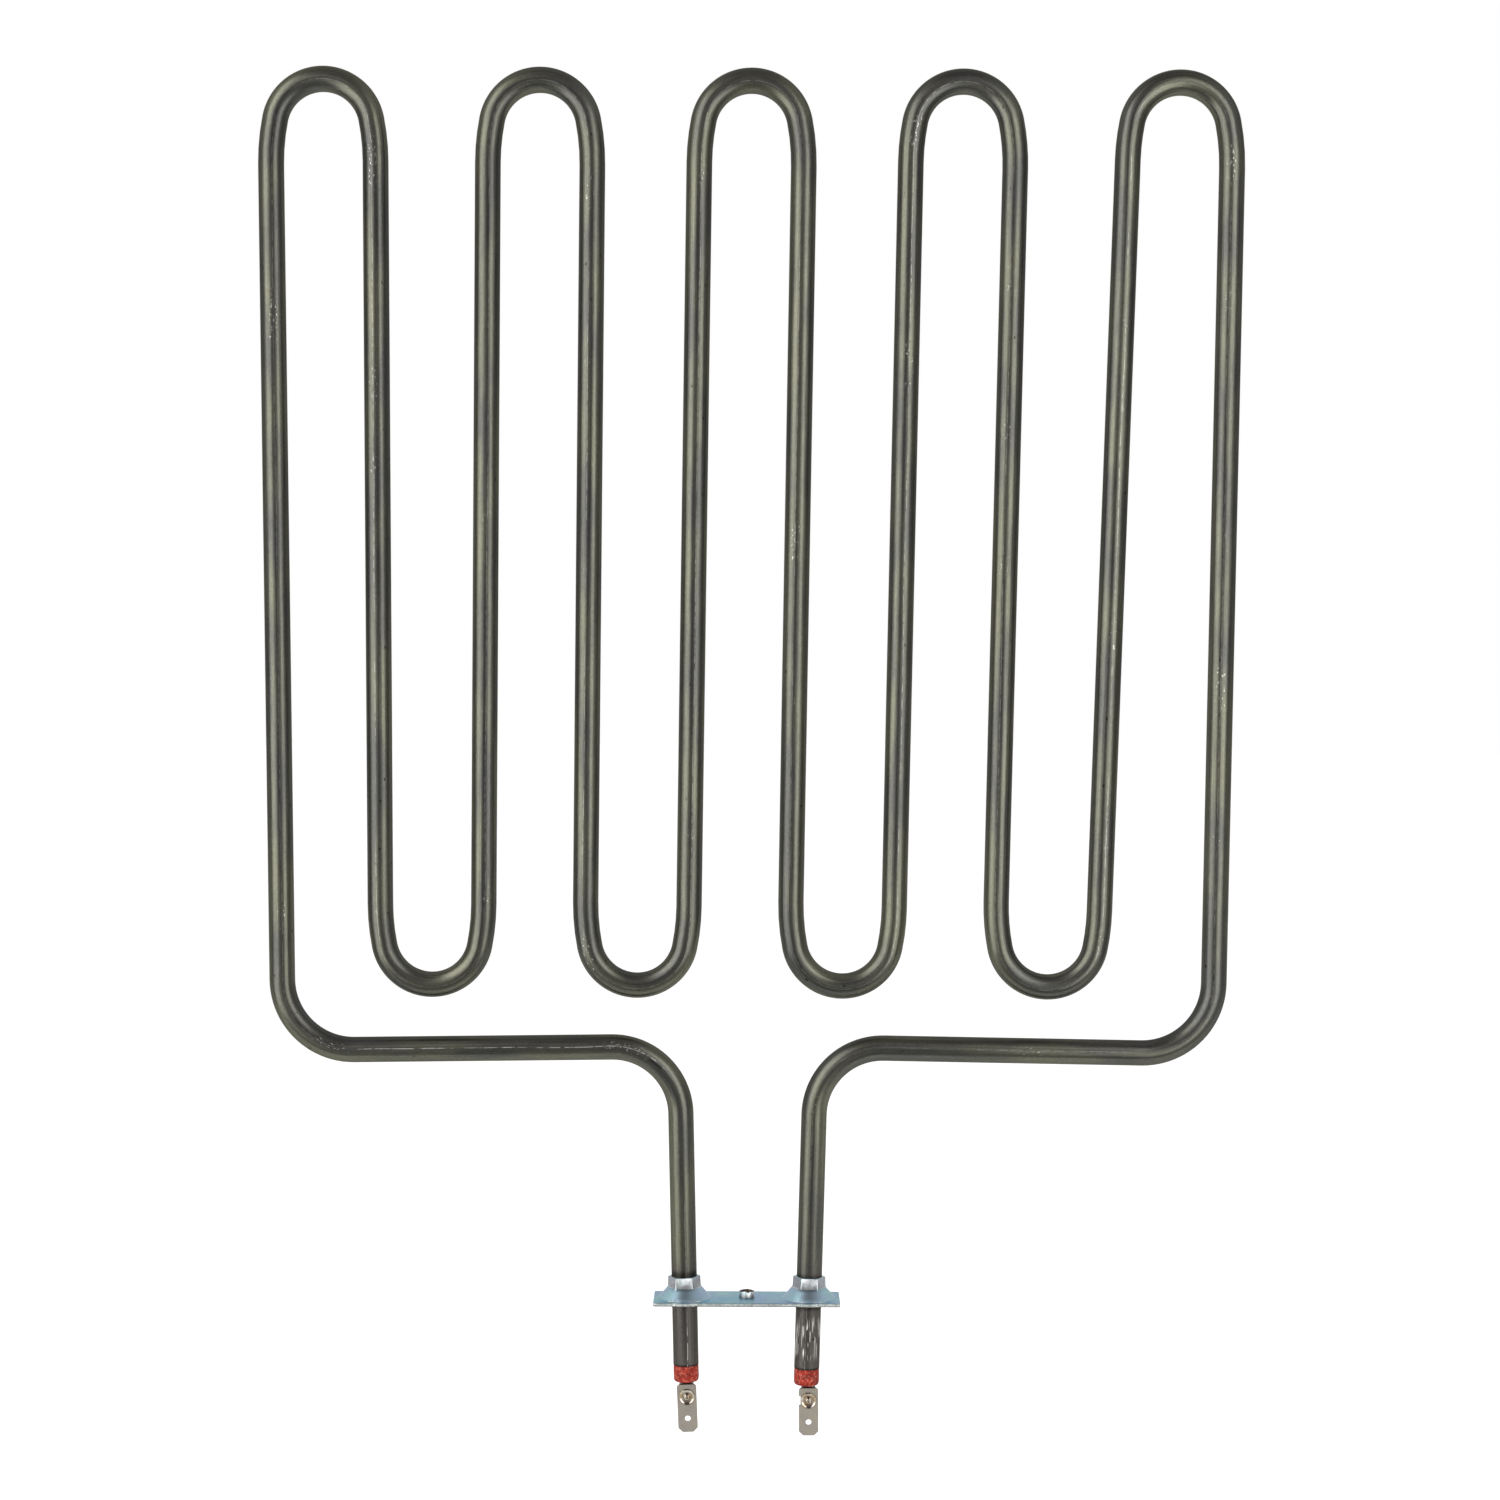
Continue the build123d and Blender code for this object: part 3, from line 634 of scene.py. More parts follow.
def plated_metal(name, main, tints, roughness, blotch, blotch_strength, grit, relief, lines=()):
    """A plated metal: tints that drift in blotches, with a fine grit in its gloss and relief.

    blotch and grit are the sizes of the two patterns in millimetres, and relief is the height of
    the grit in millimetres. Painted shade darkens it in thin lines at the heights given, and
    wherever the mesh's shade attribute says.
    """
    material, tree = new_material(name)
    place = add_node(tree, "ShaderNodeTexCoord").outputs["Object"]
    surface = list(main)
    for index, tint in enumerate(tints):
        drift = add_node(tree, "ShaderNodeMapping", {
            "Vector": place, "Location": (index * TINT_SHIFT, 0, 0),
        })
        blotches = add_node(tree, "ShaderNodeTexNoise", {
            "Vector": drift.outputs[0], "Scale": per_mm(blotch), "Detail": 4.0, "Roughness": 0.6,
        }).outputs[0]
        share = add_node(tree, "ShaderNodeMapRange", {0: blotches, 1: 0.40, 2: 0.64}).outputs[0]
        surface = add_node(tree, "ShaderNodeMix", {
            0: share, 6: surface, 7: list(tint),
        }, data_type="RGBA").outputs[2]
    gritty = add_node(tree, "ShaderNodeTexNoise", {
        "Vector": place, "Scale": per_mm(grit), "Detail": 3.0, "Roughness": 0.65,
    }).outputs[0]
    shade = add_node(tree, "ShaderNodeMapRange", {
        0: gritty, 1: 0.3, 2: 0.7, 3: 1.0 - blotch_strength, 4: 1.0 + blotch_strength / 3,
    }).outputs[0]
    surface = add_node(tree, "ShaderNodeVectorMath", {
        0: surface, "Scale": shade,
    }, operation="SCALE").outputs[0]
    # painted shade: a dark brown laid where the mesh's attribute asks and in thin lines at the
    # given heights
    soil = add_node(tree, "ShaderNodeAttribute", attribute_name="soil").outputs["Fac"]
    for height in lines:
        rise = add_node(tree, "ShaderNodeSeparateXYZ", {0: place}).outputs[2]
        away = add_node(tree, "ShaderNodeMath", {
            0: rise, 1: height * MM,
        }, operation="SUBTRACT").outputs[0]
        away = add_node(tree, "ShaderNodeMath", {0: away}, operation="ABSOLUTE").outputs[0]
        line = add_node(tree, "ShaderNodeMapRange", {
            0: away, 1: 0.34 * MM, 2: 0.14 * MM, 3: 0.0, 4: 0.8,
        }).outputs[0]
        soil = add_node(tree, "ShaderNodeMath", {0: soil, 1: line}, operation="MAXIMUM").outputs[0]
    surface = add_node(tree, "ShaderNodeMix", {
        0: soil, 6: surface, 7: linear(PAINTED_SHADE_COLOUR),
    }, data_type="RGBA").outputs[2]
    gloss = add_node(tree, "ShaderNodeMapRange", {
        0: gritty, 1: 0.3, 2: 0.7, 3: roughness + 0.07, 4: roughness - 0.05,
    }).outputs[0]
    bump = add_node(tree, "ShaderNodeBump", {
        "Strength": 1.0, "Distance": relief * MM, "Height": gritty,
    }).outputs[0]
    shader = add_node(tree, "ShaderNodeBsdfPrincipled", {
        "Base Color": surface, "Metallic": 1.0, "Roughness": gloss, "Normal": bump,
    })
    add_node(tree, "ShaderNodeOutputMaterial", {0: shader.outputs[0]})
    return material


def silicone_rubber(settings):
    """Moulded silicone with a coarse pale filler: satin brick red, mottled and slightly lumpy."""
    material, tree = new_material("red_silicone_rubber")
    place = add_node(tree, "ShaderNodeTexCoord").outputs["Object"]
    filler = add_node(tree, "ShaderNodeTexNoise", {
        "Vector": place, "Scale": per_mm(0.8), "Detail": 4.0, "Roughness": 0.75,
    }).outputs[0]
    stain = add_node(tree, "ShaderNodeTexNoise", {
        "Vector": place, "Scale": per_mm(1.7), "Detail": 2.0,
    }).outputs[0]
    share = add_node(tree, "ShaderNodeMapRange", {
        0: filler, 1: 0.51, 2: 0.61, 3: 0.0, 4: 0.9,
    }).outputs[0]
    mottled = add_node(tree, "ShaderNodeMix", {
        0: share, 6: list(settings.seal), 7: list(settings.seal_fleck),
    }, data_type="RGBA").outputs[2]
    shade = add_node(tree, "ShaderNodeMapRange", {
        0: stain, 1: 0.35, 2: 0.65, 3: 0.56, 4: 1.10,
    }).outputs[0]
    surface = add_node(tree, "ShaderNodeVectorMath", {
        0: mottled, "Scale": shade,
    }, operation="SCALE").outputs[0]
    bump = add_node(tree, "ShaderNodeBump", {
        "Strength": 1.0, "Distance": 0.08 * MM, "Height": filler,
    }).outputs[0]
    shader = add_node(tree, "ShaderNodeBsdfPrincipled", {
        "Base Color": surface, "Roughness": 0.6, "IOR": 1.41, "Specular IOR Level": 0.25,
        "Normal": bump,
    })
    add_node(tree, "ShaderNodeOutputMaterial", {0: shader.outputs[0]})
    return material


def packed_mineral(name, main, grit, roughness):
    """A dull mineral or resin: a speckle in its colour and relief, of a size in millimetres."""
    material, tree = new_material(name)
    place = add_node(tree, "ShaderNodeTexCoord").outputs["Object"]
    speckle = add_node(tree, "ShaderNodeTexNoise", {
        "Vector": place, "Scale": per_mm(grit), "Detail": 3.0,
    }).outputs[0]
    shade = add_node(tree, "ShaderNodeMapRange", {
        0: speckle, 1: 0.3, 2: 0.7, 3: 0.82, 4: 1.0,
    }).outputs[0]
    surface = add_node(tree, "ShaderNodeVectorMath", {
        0: list(main)[:3], "Scale": shade,
    }, operation="SCALE").outputs[0]
    bump = add_node(tree, "ShaderNodeBump", {
        "Strength": 1.0, "Distance": grit / 10 * MM, "Height": speckle,
    }).outputs[0]
    shader = add_node(tree, "ShaderNodeBsdfPrincipled", {
        "Base Color": surface, "Roughness": roughness, "Normal": bump,
    })
    add_node(tree, "ShaderNodeOutputMaterial", {0: shader.outputs[0]})
    return material


# ---------------------------------------------------------------- the pieces
class HEATER_OT_sheath(bpy.types.Operator):
    """Draw the steel tube through every straight and bend, and give it its wall"""

    bl_idname = "heater.sheath"
    bl_label = "Steel Sheath"

    ARC_STEP = math.radians(4)
    END_TOLERANCE = 0.01 * MM
    SEAM_TURN = math.radians(10)  # the weld seam lies this far round from the front

    def execute(self, context):
        settings = context.scene.heater_sheath
        radius, facets = settings.diameter / 2, settings.facets
        first = CENTRELINE[0]
        deselect_objects()
        bpy.ops.mesh.primitive_circle_add(
            vertices=facets, radius=radius, rotation=(0, -TOE_IN, 0),
            location=(first.start[0] * MM, 0, first.start[1] * MM))
        tube = named("sheath_tube")
        settle(tube)
        mouth_ring = [vertex.co.copy() for vertex in tube.data.vertices]

        edit(tube)
        bpy.ops.mesh.select_all(action="SELECT")
        distances = [0.0]
        for piece in CENTRELINE:
            length = piece_length(piece) * MM
            if isinstance(piece, Straight):
                steps = 1
                move = [(b - a) * MM for a, b in zip(piece.start, piece.end)]
                bpy.ops.mesh.extrude_region_move(
                    TRANSFORM_OT_translate={"value": (move[0], 0, move[1])})
            else:
                steps = math.ceil(abs(piece.sweep) / self.ARC_STEP)
                bpy.ops.mesh.spin(
                    steps=steps, angle=piece.sweep, axis=(0, 1, 0),
                    center=(piece.centre[0] * MM, 0, piece.centre[1] * MM))
            start = distances[-1]
            distances += [start + length * (k + 1) / steps for k in range(steps)]
        object_mode()

        points = tube.data.vertices
        if len(points) != len(distances) * facets:
            raise RuntimeError("the tube has a ring too many or too few")
        end = sum((p.co for p in points[-facets:]), Vector()) / facets
        x, z = CENTRELINE[-1].end
        if (end - Vector((x * MM, 0, z * MM))).length > self.END_TOLERANCE:
            raise RuntimeError("the tube doesn't reach its right mouth")

        # across from the weld seam, towards it, and along the tube, for the steel's patterns
        centre = Vector((first.start[0] * MM, 0, first.start[1] * MM))
        to_right = Vector((math.cos(TOE_IN), 0, math.sin(TOE_IN)))
        around = []
        for co in mouth_ring:
            angle = math.atan2((co - centre).dot(to_right), -co.y) - self.SEAM_TURN
            around.append((radius * math.sin(angle), radius * math.cos(angle)))
        run = tube.data.attributes.new("run", "FLOAT_VECTOR", "POINT")
        values = [v for distance in distances for a, b in around for v in (a, b, distance)]
        run.data.foreach_set("vector", values)

        edit(tube)
        bpy.ops.mesh.select_all(action="SELECT")
        bpy.ops.mesh.normals_make_consistent(inside=False)
        object_mode()
        wall = tube.modifiers.new("wall", "SOLIDIFY")
        wall.thickness, wall.offset, wall.use_even_offset = settings.wall, -1.0, False
        apply_modifiers(tube)
        smooth(tube, 50)
        finish_piece(tube, "oxidised_steel", [oxidised_steel(settings)], "sheath")
        return {"FINISHED"}


class HEATER_OT_flange(bpy.types.Operator):
    """Dress the pressed flange: cut its thread, and part the sheared, burnished and plain zinc"""

    bl_idname = "heater.flange"
    bl_label = "Pressed Flange"

    THREAD_ROWS = 40
    THREAD_RUNOUT = 0.35  # millimetres over which the thread fades in and out
    BOSS_REACH = 3.0  # a radius, in millimetres, that holds the whole boss and nothing else
    RIM_TEAR = 0.35  # millimetres from the rim's lowest tooth to its highest
    # painted shade on the cones' fronts, and a painted reflection round the boss's foot
    CONE_SOIL, CONE_SOIL_HALF_WIDTH, BOSS_SOIL = 0.52, 4.2, 0.7
    PLAIN, SHEARED, CRIMPED, TAPPED, SCUFFED, STRETCHED = range(6)  # as in the list of zincs

    def cut_thread(self, plate):
        """Replaces the bore's plain wall by a fine one, and moves that to a thread's flanks."""
        bore, tolerance = THREAD_BORE / 2 * MM, 0.02 * MM
        mesh = plate.data

        def on_bore(co):
            return abs(math.hypot(co.x, co.y) - bore) < tolerance

        def is_wall(face):
            return all(on_bore(mesh.vertices[i].co) for i in face.vertices)

        edit(plate)
        select_where(plate, "polygons", is_wall)
        bpy.ops.mesh.delete(type="FACE")
        bpy.ops.mesh.select_mode(type="EDGE")
        bpy.ops.mesh.select_non_manifold()
        bpy.ops.mesh.bridge_edge_loops(number_cuts=self.THREAD_ROWS)
        object_mode()
        wall = [vertex.co for vertex in mesh.vertices if on_bore(vertex.co)]
        low, high = min(co.z for co in wall), max(co.z for co in wall)
        for co in wall:
            reach = math.hypot(co.x, co.y)
            turn = (co.z / (THREAD_PITCH * MM) - math.atan2(co.y, co.x) / (2 * math.pi)) % 1.0
            flank = 1 - abs(2 * turn - 1)
            fade = min(1.0, min(co.z - low, high - co.z) / (self.THREAD_RUNOUT * MM))
            grown = (reach + THREAD_DEPTH * MM * flank * fade) / reach
            co.x, co.y = co.x * grown, co.y * grown

    def tear_rim(self, plate):
        """Makes the boss's rim uneven, because it was pierced and drawn up."""
        reach = self.BOSS_REACH * MM
        boss = [v.co for v in plate.data.vertices if math.hypot(v.co.x, v.co.y) < reach]
        top = max(co.z for co in boss)
        for co in boss:
            if co.z > top - 0.05 * MM:
                tooth = noise.noise(Vector((co.x, co.y, 0)) * per_mm(1.1)) - 0.25
                co.z += self.RIM_TEAR * MM * tooth

    def soil(self, plate):
        """Paints shade on the cones' fronts, and a dark painted reflection of the boss in a ring
        round its foot.
        """
        soil = plate.data.attributes.new("soil", "FLOAT", "POINT")
        for vertex, mark in zip(plate.data.vertices, soil.data):
            x, y, height = vertex.co / MM
            above = height - FLANGE_THICKNESS
            aside = abs(x) - TERMINAL_PITCH / 2
            if 0.3 < above < 3.6 and y < -1:
                share = max(0.0, 1 - (aside / self.CONE_SOIL_HALF_WIDTH) ** 2)
                mark.value = self.CONE_SOIL * share
            elif 0.02 < above < 0.5 and math.hypot(x, y) < self.BOSS_REACH:
                mark.value = self.BOSS_SOIL

    def execute(self, context):
        settings = context.scene.heater_flange
        plate = cad_copy("flange_plate", "flange_pressing")
        self.cut_thread(plate)
        outwards(plate)
        self.tear_rim(plate)
        self.soil(plate)
        smooth(plate, 35)
        # name, main colour, tints, roughness, blotches' size and strength, grit, relief, painted
        # shade lines
        zincs = [
            # Blue-passivated zinc on pressed steel: satin blue grey that drifts to green and violet
            ("blue_passivated_zinc", settings.zinc, (settings.zinc_green, settings.zinc_violet),
             0.42, 10, 0.10, 0.5, 0.02),
            # Zinc over a sheared edge: coarse and mottled, with dirt in its hollows and painted
            # shade in thin lines along its top and bottom edges
            ("zinc_on_sheared_edge", linear("#D2DAD8"), (linear("#7F8682"), linear("#B4BBB6")),
             0.38, 0.9, 0.50, 0.40, 0.12, (0.0, FLANGE_THICKNESS)),
            # Zinc burnished by the crimping tool: bright silver
            ("zinc_burnished_by_crimping", settings.burnished,
             (linear("#D3E3DE"), linear("#B9B7BD")), 0.46, 1.4, 0.24, 0.5, 0.035),
            # Thread cut after the plating: dark bare steel with oil on it
            ("oiled_thread", linear("#4B423C"), (linear("#6C6259"),), 0.34, 1.0, 0.3, 0.4, 0.02),
            # The hexagon's side flats: a darker, grainier copy of the burnished zinc, painted shade
            # on the flats that look to the sides
            ("zinc_scuffed_by_crimping", linear("#B4BABC"), (linear("#A3A4AB"),),
             0.42, 0.9, 0.30, 0.35, 0.05),
            # Zinc stretched over the drawn cones: thinner and greyer than on the flat
            ("zinc_stretched_by_drawing", linear("#9BBAC6"), (linear("#9ABFC2"), linear("#A0B2C8")),
             0.40, 8, 0.10, 0.5, 0.02),
        ]
        finish_piece(plate, "zinc_plate", [plated_metal(*zinc) for zinc in zincs], "flange_plate")
        for face in plate.data.polygons:
            face.material_index = self.finish_of(face)
        return {"FINISHED"}

    def finish_of(self, face):
        """Which zinc a face has, by where it lies in millimetres and which way it looks."""
        x, y, height = face.center / MM
        above = height - FLANGE_THICKNESS
        aside = abs(abs(x) - TERMINAL_PITCH / 2)
        from_boss, from_leg = math.hypot(x, y), math.hypot(aside, y)
        upright = abs(face.normal.z) < 0.35
        if from_boss < THREAD_BORE / 2 + THREAD_DEPTH + 0.05:  # the thread
            return self.TAPPED
        if from_boss < self.BOSS_REACH and face.normal.z > 0.5 and above > 1.2:  # the torn rim
            return self.TAPPED
        if from_boss < self.BOSS_REACH and above > 0.5:  # the boss's outside
            return self.CRIMPED
        if upright and above < 0 and from_leg > 8:  # the plate's cut edge
            return self.SHEARED
        # painted shade: the side flats, looking along x, get the darker copy of the burnished zinc
        if above > 2.0 and from_leg > 4.0 and (upright or face.normal.z > 0.9):  # the hexagons
            return self.SCUFFED if abs(face.normal.x) > 0.6 else self.CRIMPED
        # painted highlight: the fold at a cone's foot gets the bright burnished zinc at its front
        # and back
        if 0.05 < above < 0.35 and 8.2 < from_leg < 8.7 and 1.2 < aside < 5.2:
            return self.CRIMPED  # the fold at a cone's foot, which shines at its front and back
        if above > 0.1 and 4.5 < from_leg < 9.5:  # the cones
            return self.STRETCHED
        return self.PLAIN


class HEATER_OT_seals(bpy.types.Operator):
    """Turn the silicone seal with its spigot and bore, and set one in each mouth of the sheath"""

    bl_idname = "heater.seals"
    bl_label = "Silicone Seals"

    FACETS = 64
    LUMPINESS = 0.018  # how far the outside swells, as a share of its radius

    def execute(self, context):
        settings = context.scene.heater_terminals
        bore, spigot, plug, top, foot = 1.72, 3.38, 4.0, 0.0, -SEAL_HEIGHT
        # down the spigot, over the rounded shoulder and foot, and up the bore, in millimetres
        outline = [
            (bore, plug), (spigot - 0.3, plug), (spigot, plug - 0.3), (spigot, top + 0.02),
            (3.72, top), (3.86, top - 0.06), (4.0, top - 0.3), (4.04, top - 0.8), (4.06, top - 1.8),
            (4.08, top - 2.8), (4.08, top - 3.8), (4.05, foot + 0.9), (3.96, foot + 0.45),
            (3.78, foot + 0.16), (3.5, foot + 0.02), (2.6, foot), (bore + 0.2, foot),
            (bore, foot + 0.2), (bore, foot + 2.5), (bore, top), (bore, plug),
        ]
        seal = turned("seal", outline, self.FACETS)
        silicone = silicone_rubber(settings)
        for side in (LEFT, RIGHT):
            name = f"seal_{SIDE_NAMES[side]}"
            piece = copy_of(seal, name, Matrix.Identity(4))
            # hand-cut mouldings are never quite round, and each is uneven in its own way
            for vertex in piece.data.vertices:
                co = vertex.co
                if co.z < -0.1 * MM and math.hypot(co.x, co.y) > 3 * MM:
                    lump = noise.noise(co * per_mm(2.2) + Vector((side * 3.0, 0, 0)))
                    swell = 1 + self.LUMPINESS * lump
                    co.x, co.y = co.x * swell, co.y * swell
            piece.data.transform(on_leg(side) @ Matrix.Translation((0, 0, mouth(side) * MM)))
            smooth(piece, 40)
            finish_piece(piece, "red_seal", [silicone], f"end_seal_{SIDE_NAMES[side]}")
        bpy.data.objects.remove(seal)
        return {"FINISHED"}


class HEATER_OT_rivets(bpy.types.Operator):
    """Turn the bright rivet with its rolled rim, groove and boss, and set one in each tab"""

    bl_idname = "heater.rivets"
    bl_label = "Rivets"

    FACETS = 56

    def execute(self, context):
        settings = context.scene.heater_terminals
        rim = settings.rivet_diameter / 2 / MM
        grip = TAB_THICKNESS + PADDLE_THICKNESS
        # over the dimpled boss, the groove and the rolled rim, and down the shank, in millimetres
        outline = [
            (0, 0.88), (0.20, 0.90), (0.38, 0.94), (0.50, 0.94), (0.64, 0.90), (0.78, 0.82),
            (0.90, 0.71), (1.00, 0.57), (1.08, 0.40), (1.20, 0.27), (1.34, 0.24), (1.60, 0.26),
            (1.86, 0.32), (2.04, 0.41),
            (rim - 0.40, 0.50), (rim - 0.29, 0.53), (rim - 0.18, 0.50), (rim - 0.08, 0.40),
            (rim, 0.24), (rim, 0.14), (rim - 0.16, 0.0), (RIVET_SHANK_RADIUS, 0),
            (RIVET_SHANK_RADIUS, -grip), (2.05, -grip), (2.10, -grip - 0.1), (2.04, -grip - 0.35),
            (1.85, -grip - 0.58), (1.5, -grip - 0.69), (0.9, -grip - 0.66), (0.45, -grip - 0.5),
            (0, -grip - 0.45),
        ]
        rivet = turned("rivet", outline, self.FACETS)
        # painted shade: the rim's outer edge darker towards the bottom, a painted shadow under the
        # rim's lowest part, and painted shade in the groove at the boss's foot and in its dimple
        soil = rivet.data.attributes.new("soil", "FLOAT", "POINT")
        for vertex, mark in zip(rivet.data.vertices, soil.data):
            reach = math.hypot(vertex.co.x, vertex.co.y) / MM
            up = vertex.co.y / MM / reach if reach > 0.1 else 0.0
            if reach > rim - 0.12:  # the rim's outer edge
                mark.value = 0.5 - 0.4 * up
            elif reach > 1.9:  # the rim's lowest part
                mark.value = min(0.9, max(0.0, (-up - 0.93) / 0.05))
            elif 1.1 < reach < 1.7:  # the groove
                mark.value = 0.5 + 0.5 * max(0.0, abs(up) - 0.5)
            elif reach < 0.55:  # the dimple
                mark.value = 0.45
        # Bright nickel with a straw tint from the riveting heat
        bright = plated_metal(
            "bright_nickel_rivet", settings.rivet, [linear("#8C7A5E")], roughness=0.12,
            blotch=1.5, blotch_strength=0.08, grit=0.35, relief=0.008)
        forwards = Matrix.Rotation(math.radians(90), 4, "X")
        seat = (-PADDLE_THICKNESS / 2 - TAB_THICKNESS) * MM
        for side in (LEFT, RIGHT):
            name = SIDE_NAMES[side]
            seated = Matrix.Translation((0, seat, rivet_height(side) * MM)) @ forwards
            move = on_leg(side) @ bent(side) @ seated
            piece = copy_of(rivet, f"rivet_{name}_turned", move)
            smooth(piece, 45)
            finish_piece(piece, "rivet_plating", [bright], f"rivet_{name}")
        bpy.data.objects.remove(rivet)
        return {"FINISHED"}


class HEATER_OT_plain_parts(bpy.types.Operator):
    """Finish the CAD's tabs, pins, resin, insulation and resistance coil"""

    bl_idname = "heater.plain_parts"
    bl_label = "Tabs, Pins and Core"

    def execute(self, context):
        settings = context.scene.heater_terminals
        finishes = {
            # Nickel-plated steel strip: warm satin grey, faintly stained
            "tab": plated_metal(
                "nickel_plated_strip", settings.tab, [linear("#88827B")], roughness=0.36,
                blotch=2.5, blotch_strength=0.10, grit=0.4, relief=0.012),
            # Dull zinc-plated steel rod, darkened by the firing
            "terminal_pin": plated_metal(
                "dull_plated_pin", linear("#6B6966"), [linear("#57565A")], roughness=0.42,
                blotch=1.2, blotch_strength=0.2, grit=0.3, relief=0.02),
            # Cast sealing resin: amber, hard and slightly grainy
            "resin_plug": packed_mineral(
                "cast_sealing_resin", linear("#C9B286"), grit=0.3, roughness=0.35),
            # Compacted magnesium oxide: white and dusty
            "insulation": packed_mineral(
                "compacted_magnesium_oxide", linear("#EBE9E2"), grit=0.2, roughness=0.9),
            # Bright-drawn resistance wire, close-wound
            "resistance_coil": plated_metal(
                "resistance_wire", linear("#A9A7A2"), [linear("#8F8C86")], roughness=0.3,
                blotch=3, blotch_strength=0.1, grit=0.3, relief=0.01),
        }
        for name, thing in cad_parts.items():
            for prefix, material in finishes.items():
                if name.startswith(prefix):
                    thing.data.materials[0] = material
        return {"FINISHED"}


# ---------------------------------------------------------------- the stage
def seen_directly(tree):
    """1 for what the camera sees, straight or in gloss or glass, and 0 for what lights the part."""
    path = add_node(tree, "ShaderNodeLightPath").outputs
    seen = path["Is Camera Ray"]
    for ray in ("Is Glossy Ray", "Is Transmission Ray"):
        seen = add_node(tree, "ShaderNodeMath", {
            0: seen, 1: path[ray],
        }, operation="MAXIMUM").outputs[0]
    return seen


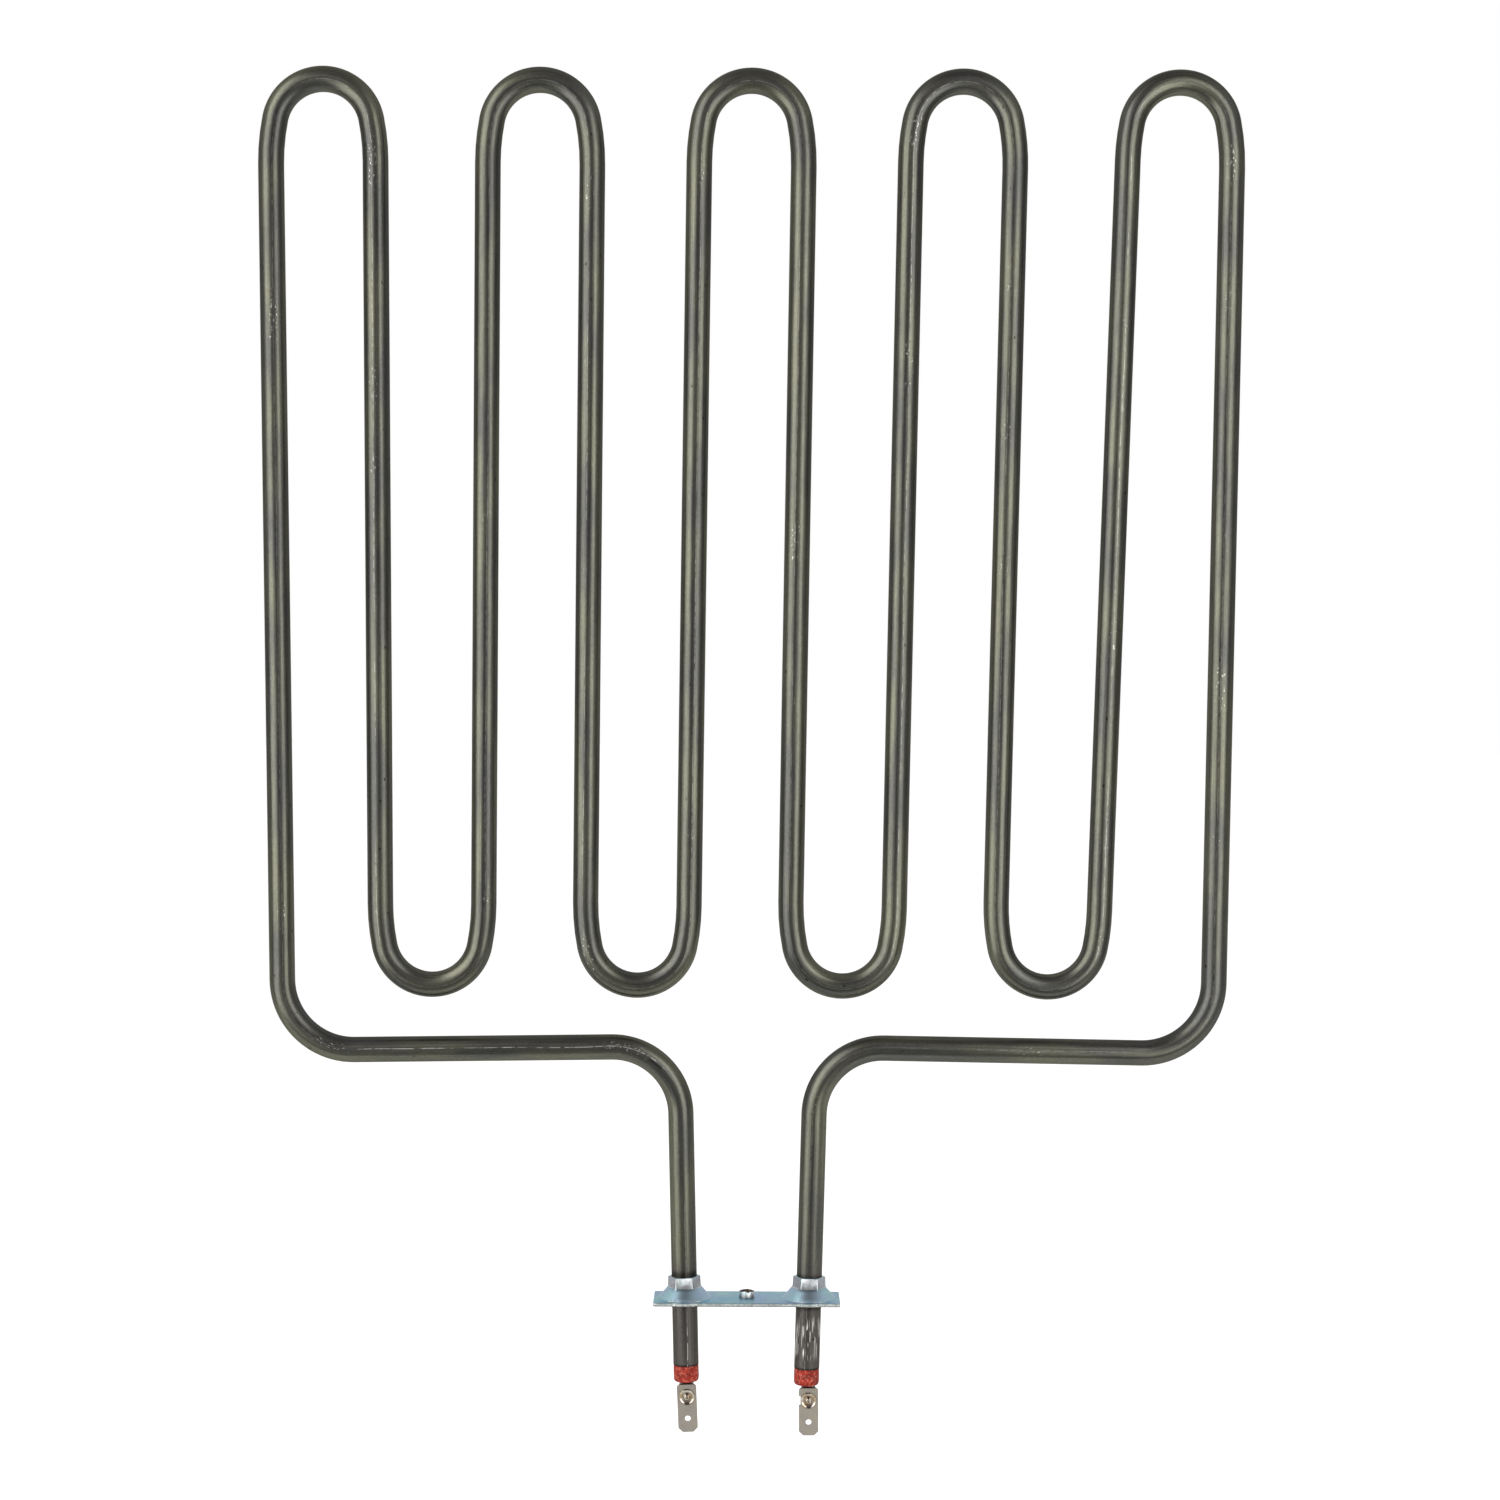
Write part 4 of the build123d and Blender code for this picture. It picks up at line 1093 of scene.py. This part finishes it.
class HEATER_OT_stage(bpy.types.Operator):
    """Set out the pale floor, the white background, two softboxes and the camera"""

    bl_idname = "heater.stage"
    bl_label = "Stage"

    FLOOR_RADIUS = 3.0
    FLOOR_FACETS = 96
    FLOOR_FRONT = 0.10  # how far the floor comes forward of the element
    FLOOR_GLOW = 0.8
    CAMERA_ASIDE = 0.0003
    ROLL = math.radians(0.25)
    AIM_HEIGHT = 0.178
    SENSOR_WIDTH = 36.0  # millimetres
    WHITE = (1, 1, 1, 1)

    def floor(self, lowest):
        deselect_objects()
        bpy.ops.mesh.primitive_circle_add(
            vertices=self.FLOOR_FACETS, radius=self.FLOOR_RADIUS, fill_type="NGON",
            location=(0, self.FLOOR_RADIUS - self.FLOOR_FRONT, lowest))
        ground = named("floor")
        settle(ground)
        # Matt white paper: it shows white, and still takes the part's soft shadow
        material, tree = new_material("matt_white_paper")
        shader = add_node(tree, "ShaderNodeBsdfPrincipled", {
            "Base Color": linear("#F4F4F2"), "Roughness": 0.95, "Emission Color": self.WHITE,
        })
        glow = add_node(tree, "ShaderNodeMath", {
            0: seen_directly(tree), 1: self.FLOOR_GLOW,
        }, operation="MULTIPLY")
        tree.links.new(glow.outputs[0], shader.inputs["Emission Strength"])
        add_node(tree, "ShaderNodeOutputMaterial", {0: shader.outputs[0]})
        ground.data.materials.append(material)

    def world(self):
        """White behind the part, with a grey room round it that only gloss and glass see."""
        world = bpy.data.worlds.new("studio")
        bpy.context.scene.world = world
        world.use_nodes = True
        tree = world.node_tree
        tree.nodes.clear()
        way = add_node(tree, "ShaderNodeTexCoord").outputs["Generated"]
        aside, depth, height = add_node(tree, "ShaderNodeSeparateXYZ", {0: way}).outputs
        aside = add_node(tree, "ShaderNodeMath", {0: aside}, operation="ABSOLUTE").outputs[0]
        camera_ray = add_node(tree, "ShaderNodeLightPath").outputs["Is Camera Ray"]
        colour_out = linear("#9E9AA0")
        for share, layer in (
            (mask(tree, (depth, -0.4, 0.5)), linear("#E0DEE2")),  # the far half of the room
            (mask(tree, (height, 0.0, -0.12)), linear("#B2B2B2")),  # the bench
            (mask(tree, (aside, 0.25, 0.65), (height, 0.15, 0.45)), linear("#F0F0F0")),  # lit walls
            (mask(tree, (depth, 0.93, 0.99)), self.WHITE),  # the backdrop
            (camera_ray, self.WHITE),
        ):
            colour_out = add_node(tree, "ShaderNodeMix", {
                0: share, 6: colour_out, 7: layer,
            }, data_type="RGBA").outputs[2]
        colour_out = add_node(tree, "ShaderNodeMix", {
            0: seen_directly(tree), 6: linear("#85858A"), 7: colour_out,
        }, data_type="RGBA").outputs[2]
        glow = add_node(tree, "ShaderNodeBackground", {0: colour_out, 1: 1.0})
        add_node(tree, "ShaderNodeOutputWorld", {0: glow.outputs[0]})

    def softbox(self, name, centre, facing, width, height, radiance):
        data = bpy.data.lights.new(name, "AREA")
        data.shape, data.size, data.size_y = "RECTANGLE", width, height
        data.energy = radiance * math.pi * width * height
        lamp = bpy.data.objects.new(name, data)
        bpy.context.scene.collection.objects.link(lamp)
        lamp.location = centre
        lamp.rotation_euler = Vector(facing).to_track_quat("-Z", "Y").to_euler()
        lamp.visible_camera = False

    def execute(self, context):
        settings = context.scene.heater_stage
        self.floor(cad_box[0].z)
        self.world()
        level = settings.softbox_radiance
        # centre, way it shines, width, height and radiance of each
        self.softbox("softbox_left", (-0.52, -0.60, 0.41), (1, 0, 0), 0.86, 1.06, level * 0.9)
        self.softbox("softbox_right", (0.485, -0.56, 0.28), (0, 1, 0), 0.50, 0.82, level * 0.95)

        data = bpy.data.cameras.new("camera")
        data.lens, data.sensor_width = settings.lens, self.SENSOR_WIDTH
        data.clip_start, data.clip_end = 0.01, 20.0
        camera = bpy.data.objects.new("camera", data)
        context.scene.collection.objects.link(camera)
        camera.location = (self.CAMERA_ASIDE, -settings.camera_distance, settings.camera_height)
        look = Vector((self.CAMERA_ASIDE, 0, self.AIM_HEIGHT)) - camera.location
        aim = look.to_track_quat("-Z", "Y").to_matrix() @ Matrix.Rotation(self.ROLL, 3, "Z")
        camera.rotation_euler = aim.to_euler()
        context.scene.camera = camera
        context.scene.view_settings.view_transform = "Standard"
        return {"FINISHED"}


class HEATER_PT_panel(bpy.types.Panel):
    bl_idname = "HEATER_PT_panel"
    bl_label = "Heating Element"
    bl_space_type = "VIEW_3D"
    bl_region_type = "UI"
    bl_category = "Heating Element"

    def draw(self, context):
        for name, (group, operators) in SECTIONS.items():
            box = self.layout.box()
            settings = getattr(context.scene, name)
            for key in group.__annotations__:
                box.prop(settings, key)
            for operator in operators:
                box.operator(operator.bl_idname)


SECTIONS = {
    "heater_sheath": (SheathSettings, [HEATER_OT_sheath]),
    "heater_flange": (FlangeSettings, [HEATER_OT_flange]),
    "heater_terminals": (
        TerminalSettings, [HEATER_OT_seals, HEATER_OT_rivets, HEATER_OT_plain_parts]),
    "heater_stage": (StageSettings, [HEATER_OT_stage]),
}
OPERATORS = [operator for _, operators in SECTIONS.values() for operator in operators]


def register():
    for name, (group, _) in SECTIONS.items():
        bpy.utils.register_class(group)
        setattr(bpy.types.Scene, name, bpy.props.PointerProperty(type=group))
    for operator in OPERATORS:
        bpy.utils.register_class(operator)
    bpy.utils.register_class(HEATER_PT_panel)


def unregister():
    bpy.utils.unregister_class(HEATER_PT_panel)
    for operator in reversed(OPERATORS):
        bpy.utils.unregister_class(operator)
    for name, (group, _) in reversed(SECTIONS.items()):
        delattr(bpy.types.Scene, name)
        bpy.utils.unregister_class(group)


def main():
    register()
    for operator in OPERATORS:
        category, name = operator.bl_idname.split(".")
        getattr(getattr(bpy.ops, category), name)()
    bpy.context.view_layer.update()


if __name__ == "__main__":
    main()
